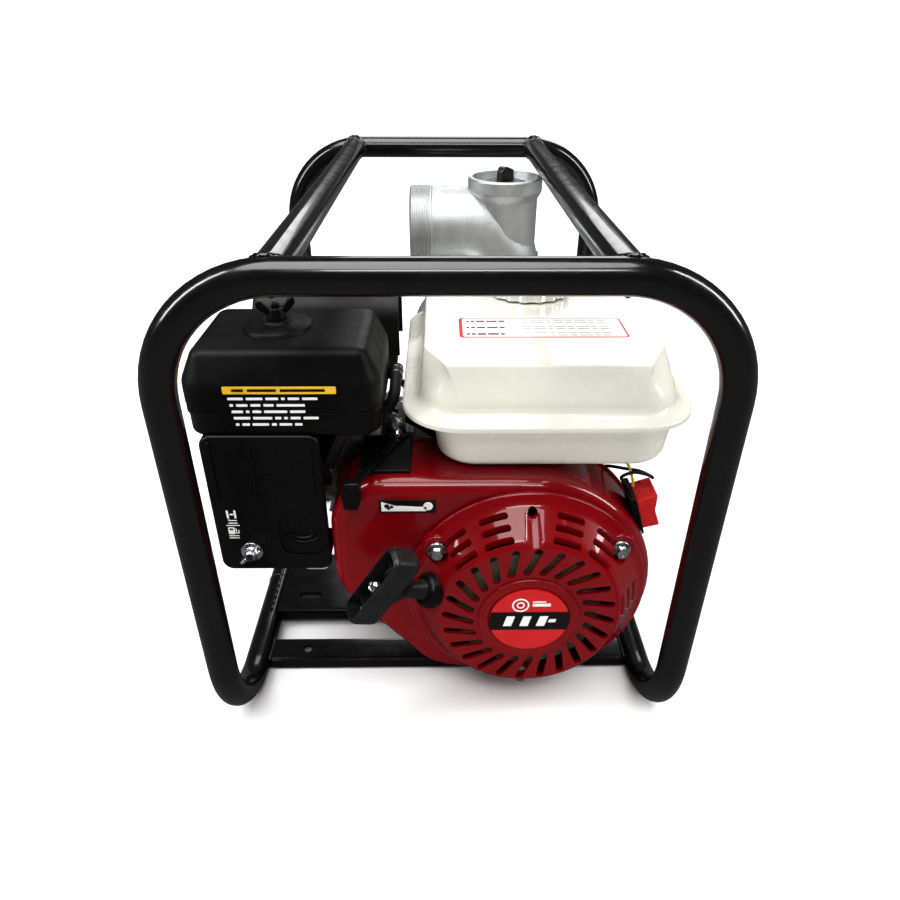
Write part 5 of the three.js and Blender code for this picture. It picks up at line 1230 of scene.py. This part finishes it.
base_y = 209.3
flange = [(33, base_y), (51, base_y), (51, base_y + 9), (43, base_y + 11), (43, base_y + 14)]
lip = [(41, base_y + 40), (37, base_y + 40), (33, base_y + 36), (33, base_y)]
nozzle = lathe("y", flange + thread(44, base_y + 15, base_y + 38.6) + lip, 96, 0.35, 2)
nozzle = nozzle.at(0, 0, SUCTION_Z)
pad = prism("y", rounded([(-46, 14), (46, 14), (46, 106), (-46, 106)], 20), base_y, base_y + 8, 1.2)
pad = cut(pad, rod("y", 40, base_y - 5, base_y + 20, 72, 0).at(0, 0, SUCTION_Z))
piece("suction_nozzle", join(nozzle, pad), "cast_aluminium", replaces="suction_port")
nozzle_bolts = [hex_bolt(13, 7, 9).placed(facing((0, 1, 0), (sx * 36, base_y + 8.2, SUCTION_Z + sz * 36)))
                for sx in (-1, 1) for sz in (-1, 1)]
piece("nozzle_bolts", heap(*nozzle_bolts), "zinc")
flap = join(rod("y", 38, 193, 197.7, 64, 1), block(-12, 12, 193, 197.7, 30, 44, 1)).at(0, 0, SUCTION_Z)
piece("flap", flap, "rubber", body="valve_flap", replaces="check_valve_flap")

OUTLET_Z, OUTLET_END = 231, -108
foot = prism("z", flange_line, 172.3, 181, 1.2)
riser = lathe("z", [(0, 176), (42.6, 176), (42.6, 184), (38.4, 190), (37.5, 197), (37.5, 262), (41, 268),
                    (42, 270), (42, 283), (40.5, 284.5), (0, 284.5)], 96, 1.5).at(0, PORT_Y, 0)
turns = thread(44, OUTLET_END + 1.2, OUTLET_END + 22, 2.3)
root = [(43.8, OUTLET_END + 23), (43.8, OUTLET_END + 24.6), (42.4, OUTLET_END + 25.6), (42.4, -47), (0, -47)]
branch = lathe("x", [(0, OUTLET_END), (41, OUTLET_END)] + turns + root, 96, 0.35, 2)
branch = branch.at(0, PORT_Y, OUTLET_Z)
BEND = 48
bend = [(-BEND + BEND * math.sin(a), PORT_Y, OUTLET_Z - BEND + BEND * math.cos(a))
        for a in np.linspace(0, math.pi / 2, 24)]
bend = [(-BEND - 1.5, PORT_Y, OUTLET_Z)] + bend
sweep_bend = cut(sweep(bend, 42.2, 88), slab(-110, 60, PORT_Y - 60, PORT_Y + 60, 90, 176))
elbow = join(foot, riser, branch, sweep_bend)
elbow = cut(elbow, rod("z", 33, 160, 272, 64, 0).at(0, PORT_Y, 0),
            rod("x", 33, OUTLET_END - 5, -48, 64, 0).at(0, PORT_Y, OUTLET_Z), sweep(bend, 32.7, 56),
            rod("z", 20.3, 260, 300, 48, 0).at(0, PORT_Y, 0),
            lathe("z", [(0, 274), (35.5, 274), (37.5, 286), (0, 286)], 72, 1).at(0, PORT_Y, 0))
collar = lathe("z", [(20.3, 268), (25.5, 268), (25.5, 276.4), (24, 277.2), (20.3, 277.2), (20.3, 268)], 64,
               0.6).at(0, PORT_Y, 0)
elbow = join(elbow, collar)
piece("elbow", elbow, "cast_aluminium", replaces="discharge_elbow", angle=30)
foot_bolts = [hex_bolt(13, 7, 9).at(sx * 41, PORT_Y + sy * 41, 181.2) for sx in (-1, 1) for sy in (-1, 1)]
piece("elbow_bolts", heap(*foot_bolts), "zinc")

stopper = lathe("z", [(0, 266), (19.5, 266), (19.5, 277.5), (23.5, 277.5), (23.5, 279), (17, 280.6),
                      (0, 280.6)], 56, 0.8)
fin = prism("y", rounded([(-11.5, 279), (11.5, 279), (10.5, 291), (-3, 295.5), (-8, 295), (-10.5, 291)],
                         1.6), -4.4, 4.4, 1)
piece("priming_cap", join(stopper, fin).spun("Z", 50).at(0, PORT_Y, 0), "grip_plastic", body="filler_plug",
      replaces="priming_plug")
stopper = lathe("y", [(0, base_y - 16), (9, base_y - 16), (9, base_y), (14, base_y), (14, base_y + 6),
                      (0, base_y + 6)], 48, 0.8)
fin = block(-12, 12, base_y + 5, base_y + 14, -2.5, 2.5, 1.4)
piece("drain_cap", join(stopper, fin).at(0, 0, -86), "grip_plastic", body="drain_plug",
      replaces="pump_drain_plug")


# ---------------------------------------------------------------- stage, light and camera
def stage_mesh(name, points, faces, look):
    mesh = bpy.data.meshes.new(name)
    mesh.from_pydata(points, [], faces)
    mesh.polygons.foreach_set("use_smooth", [True] * len(mesh.polygons))
    mesh.materials.append(look)
    obj = bpy.data.objects.new(name, mesh)
    bpy.context.scene.collection.objects.link(obj)



floor_look = bpy.data.materials.new("studio_floor")
floor_look.use_nodes = True
floor_shader = floor_look.node_tree.nodes["Principled BSDF"]
floor_shader.inputs["Roughness"].default_value = 0.9
floor_shader.inputs["Specular IOR Level"].default_value = 0.1
nodes, links = floor_look.node_tree.nodes, floor_look.node_tree.links
# the floor is pale for camera and bounce rays but near black for glossy rays: a painted dark reflection on
# every glossy surface of the pump
glossy = nodes.new("ShaderNodeLightPath").outputs["Is Glossy Ray"]
tone = nodes.new("ShaderNodeMix")
tone.data_type = "RGBA"
tone.inputs[6].default_value = (0.98, 0.98, 0.98, 1)
tone.inputs[7].default_value = (0.09, 0.09, 0.09, 1)
links.new(glossy, tone.inputs[0])
links.new(tone.outputs[2], floor_shader.inputs["Base Color"])
FLOOR = 40.0
corners = [(-FLOOR, -FLOOR, 0), (FLOOR, -FLOOR, 0), (FLOOR, FLOOR, 0), (-FLOOR, FLOOR, 0)]
stage_mesh("studio_floor", corners, [(0, 1, 2, 3)], floor_look)


def soft_light(name, place, target, width, height, power):
    data = bpy.data.lights.new(name, "AREA")
    data.shape, data.size, data.size_y, data.energy = "RECTANGLE", width, height, power
    obj = bpy.data.objects.new(name, data)
    bpy.context.scene.collection.objects.link(obj)
    obj.location = place
    obj.rotation_euler = (Vector(target) - Vector(place)).to_track_quat("-Z", "Y").to_euler()



soft_light("light_left", (-1.5, -0.5, 1.3), (0, 0, 0.25), 0.25, 1.3, 14)
soft_light("light_right", (1.5, -0.3, 1.2), (0, 0, 0.25), 0.22, 1.3, 13)
soft_light("light_front", (0.1, -1.5, 1.9), (0, -0.1, 0.2), 1.0, 0.25, 9)
soft_light("light_back", (0.3, 2.2, 1.6), (0, 0, 0.3), 1.5, 1.0, 12)
sun_data = bpy.data.lights.new("light_overhead", "SUN")
sun_data.energy, sun_data.angle = 2.75, math.radians(50)
sun = bpy.data.objects.new("light_overhead", sun_data)
bpy.context.scene.collection.objects.link(sun)
sun.rotation_euler = (math.radians(8), math.radians(-6), 0)

world = bpy.data.worlds.new("studio")
bpy.context.scene.world = world
world.use_nodes = True
nodes, links = world.node_tree.nodes, world.node_tree.links
sky, seen = nodes["Background"], nodes.new("ShaderNodeLightPath")
sky.inputs["Color"].default_value = (1, 1, 1, 1)
level = nodes.new("ShaderNodeMapRange")
level.inputs["To Min"].default_value, level.inputs["To Max"].default_value = 0.16, 0.06
links.new(seen.outputs["Is Glossy Ray"], level.inputs["Value"])
strength = nodes.new("ShaderNodeMix")
strength.inputs[3].default_value = 1.0
links.new(seen.outputs["Is Camera Ray"], strength.inputs[0])
links.new(level.outputs["Result"], strength.inputs[2])
links.new(strength.outputs[0], sky.inputs["Strength"])
bpy.context.scene.view_settings.view_transform = "Standard"
bpy.context.scene.view_settings.look = "Medium High Contrast"

camera_data = bpy.data.cameras.new("camera")
camera_data.lens, camera_data.sensor_width = 27.99, 36
camera = bpy.data.objects.new("camera", camera_data)
bpy.context.scene.collection.objects.link(camera)
bpy.context.scene.camera = camera
yaw, pitch, roll = (math.radians(a) for a in (0.90, 31.16, 0.26))
ahead = Vector((math.sin(yaw) * math.cos(pitch), math.cos(yaw) * math.cos(pitch), -math.sin(pitch)))
across = Vector((math.cos(yaw), -math.sin(yaw), 0))
above = across.cross(ahead)
across, above = (math.cos(roll) * across + math.sin(roll) * above,
                 math.cos(roll) * above - math.sin(roll) * across)
turned = Matrix((across, above, -ahead)).transposed().to_4x4()
camera.matrix_world = Matrix.Translation((-0.0061, -0.6791, 0.5604)) @ turned
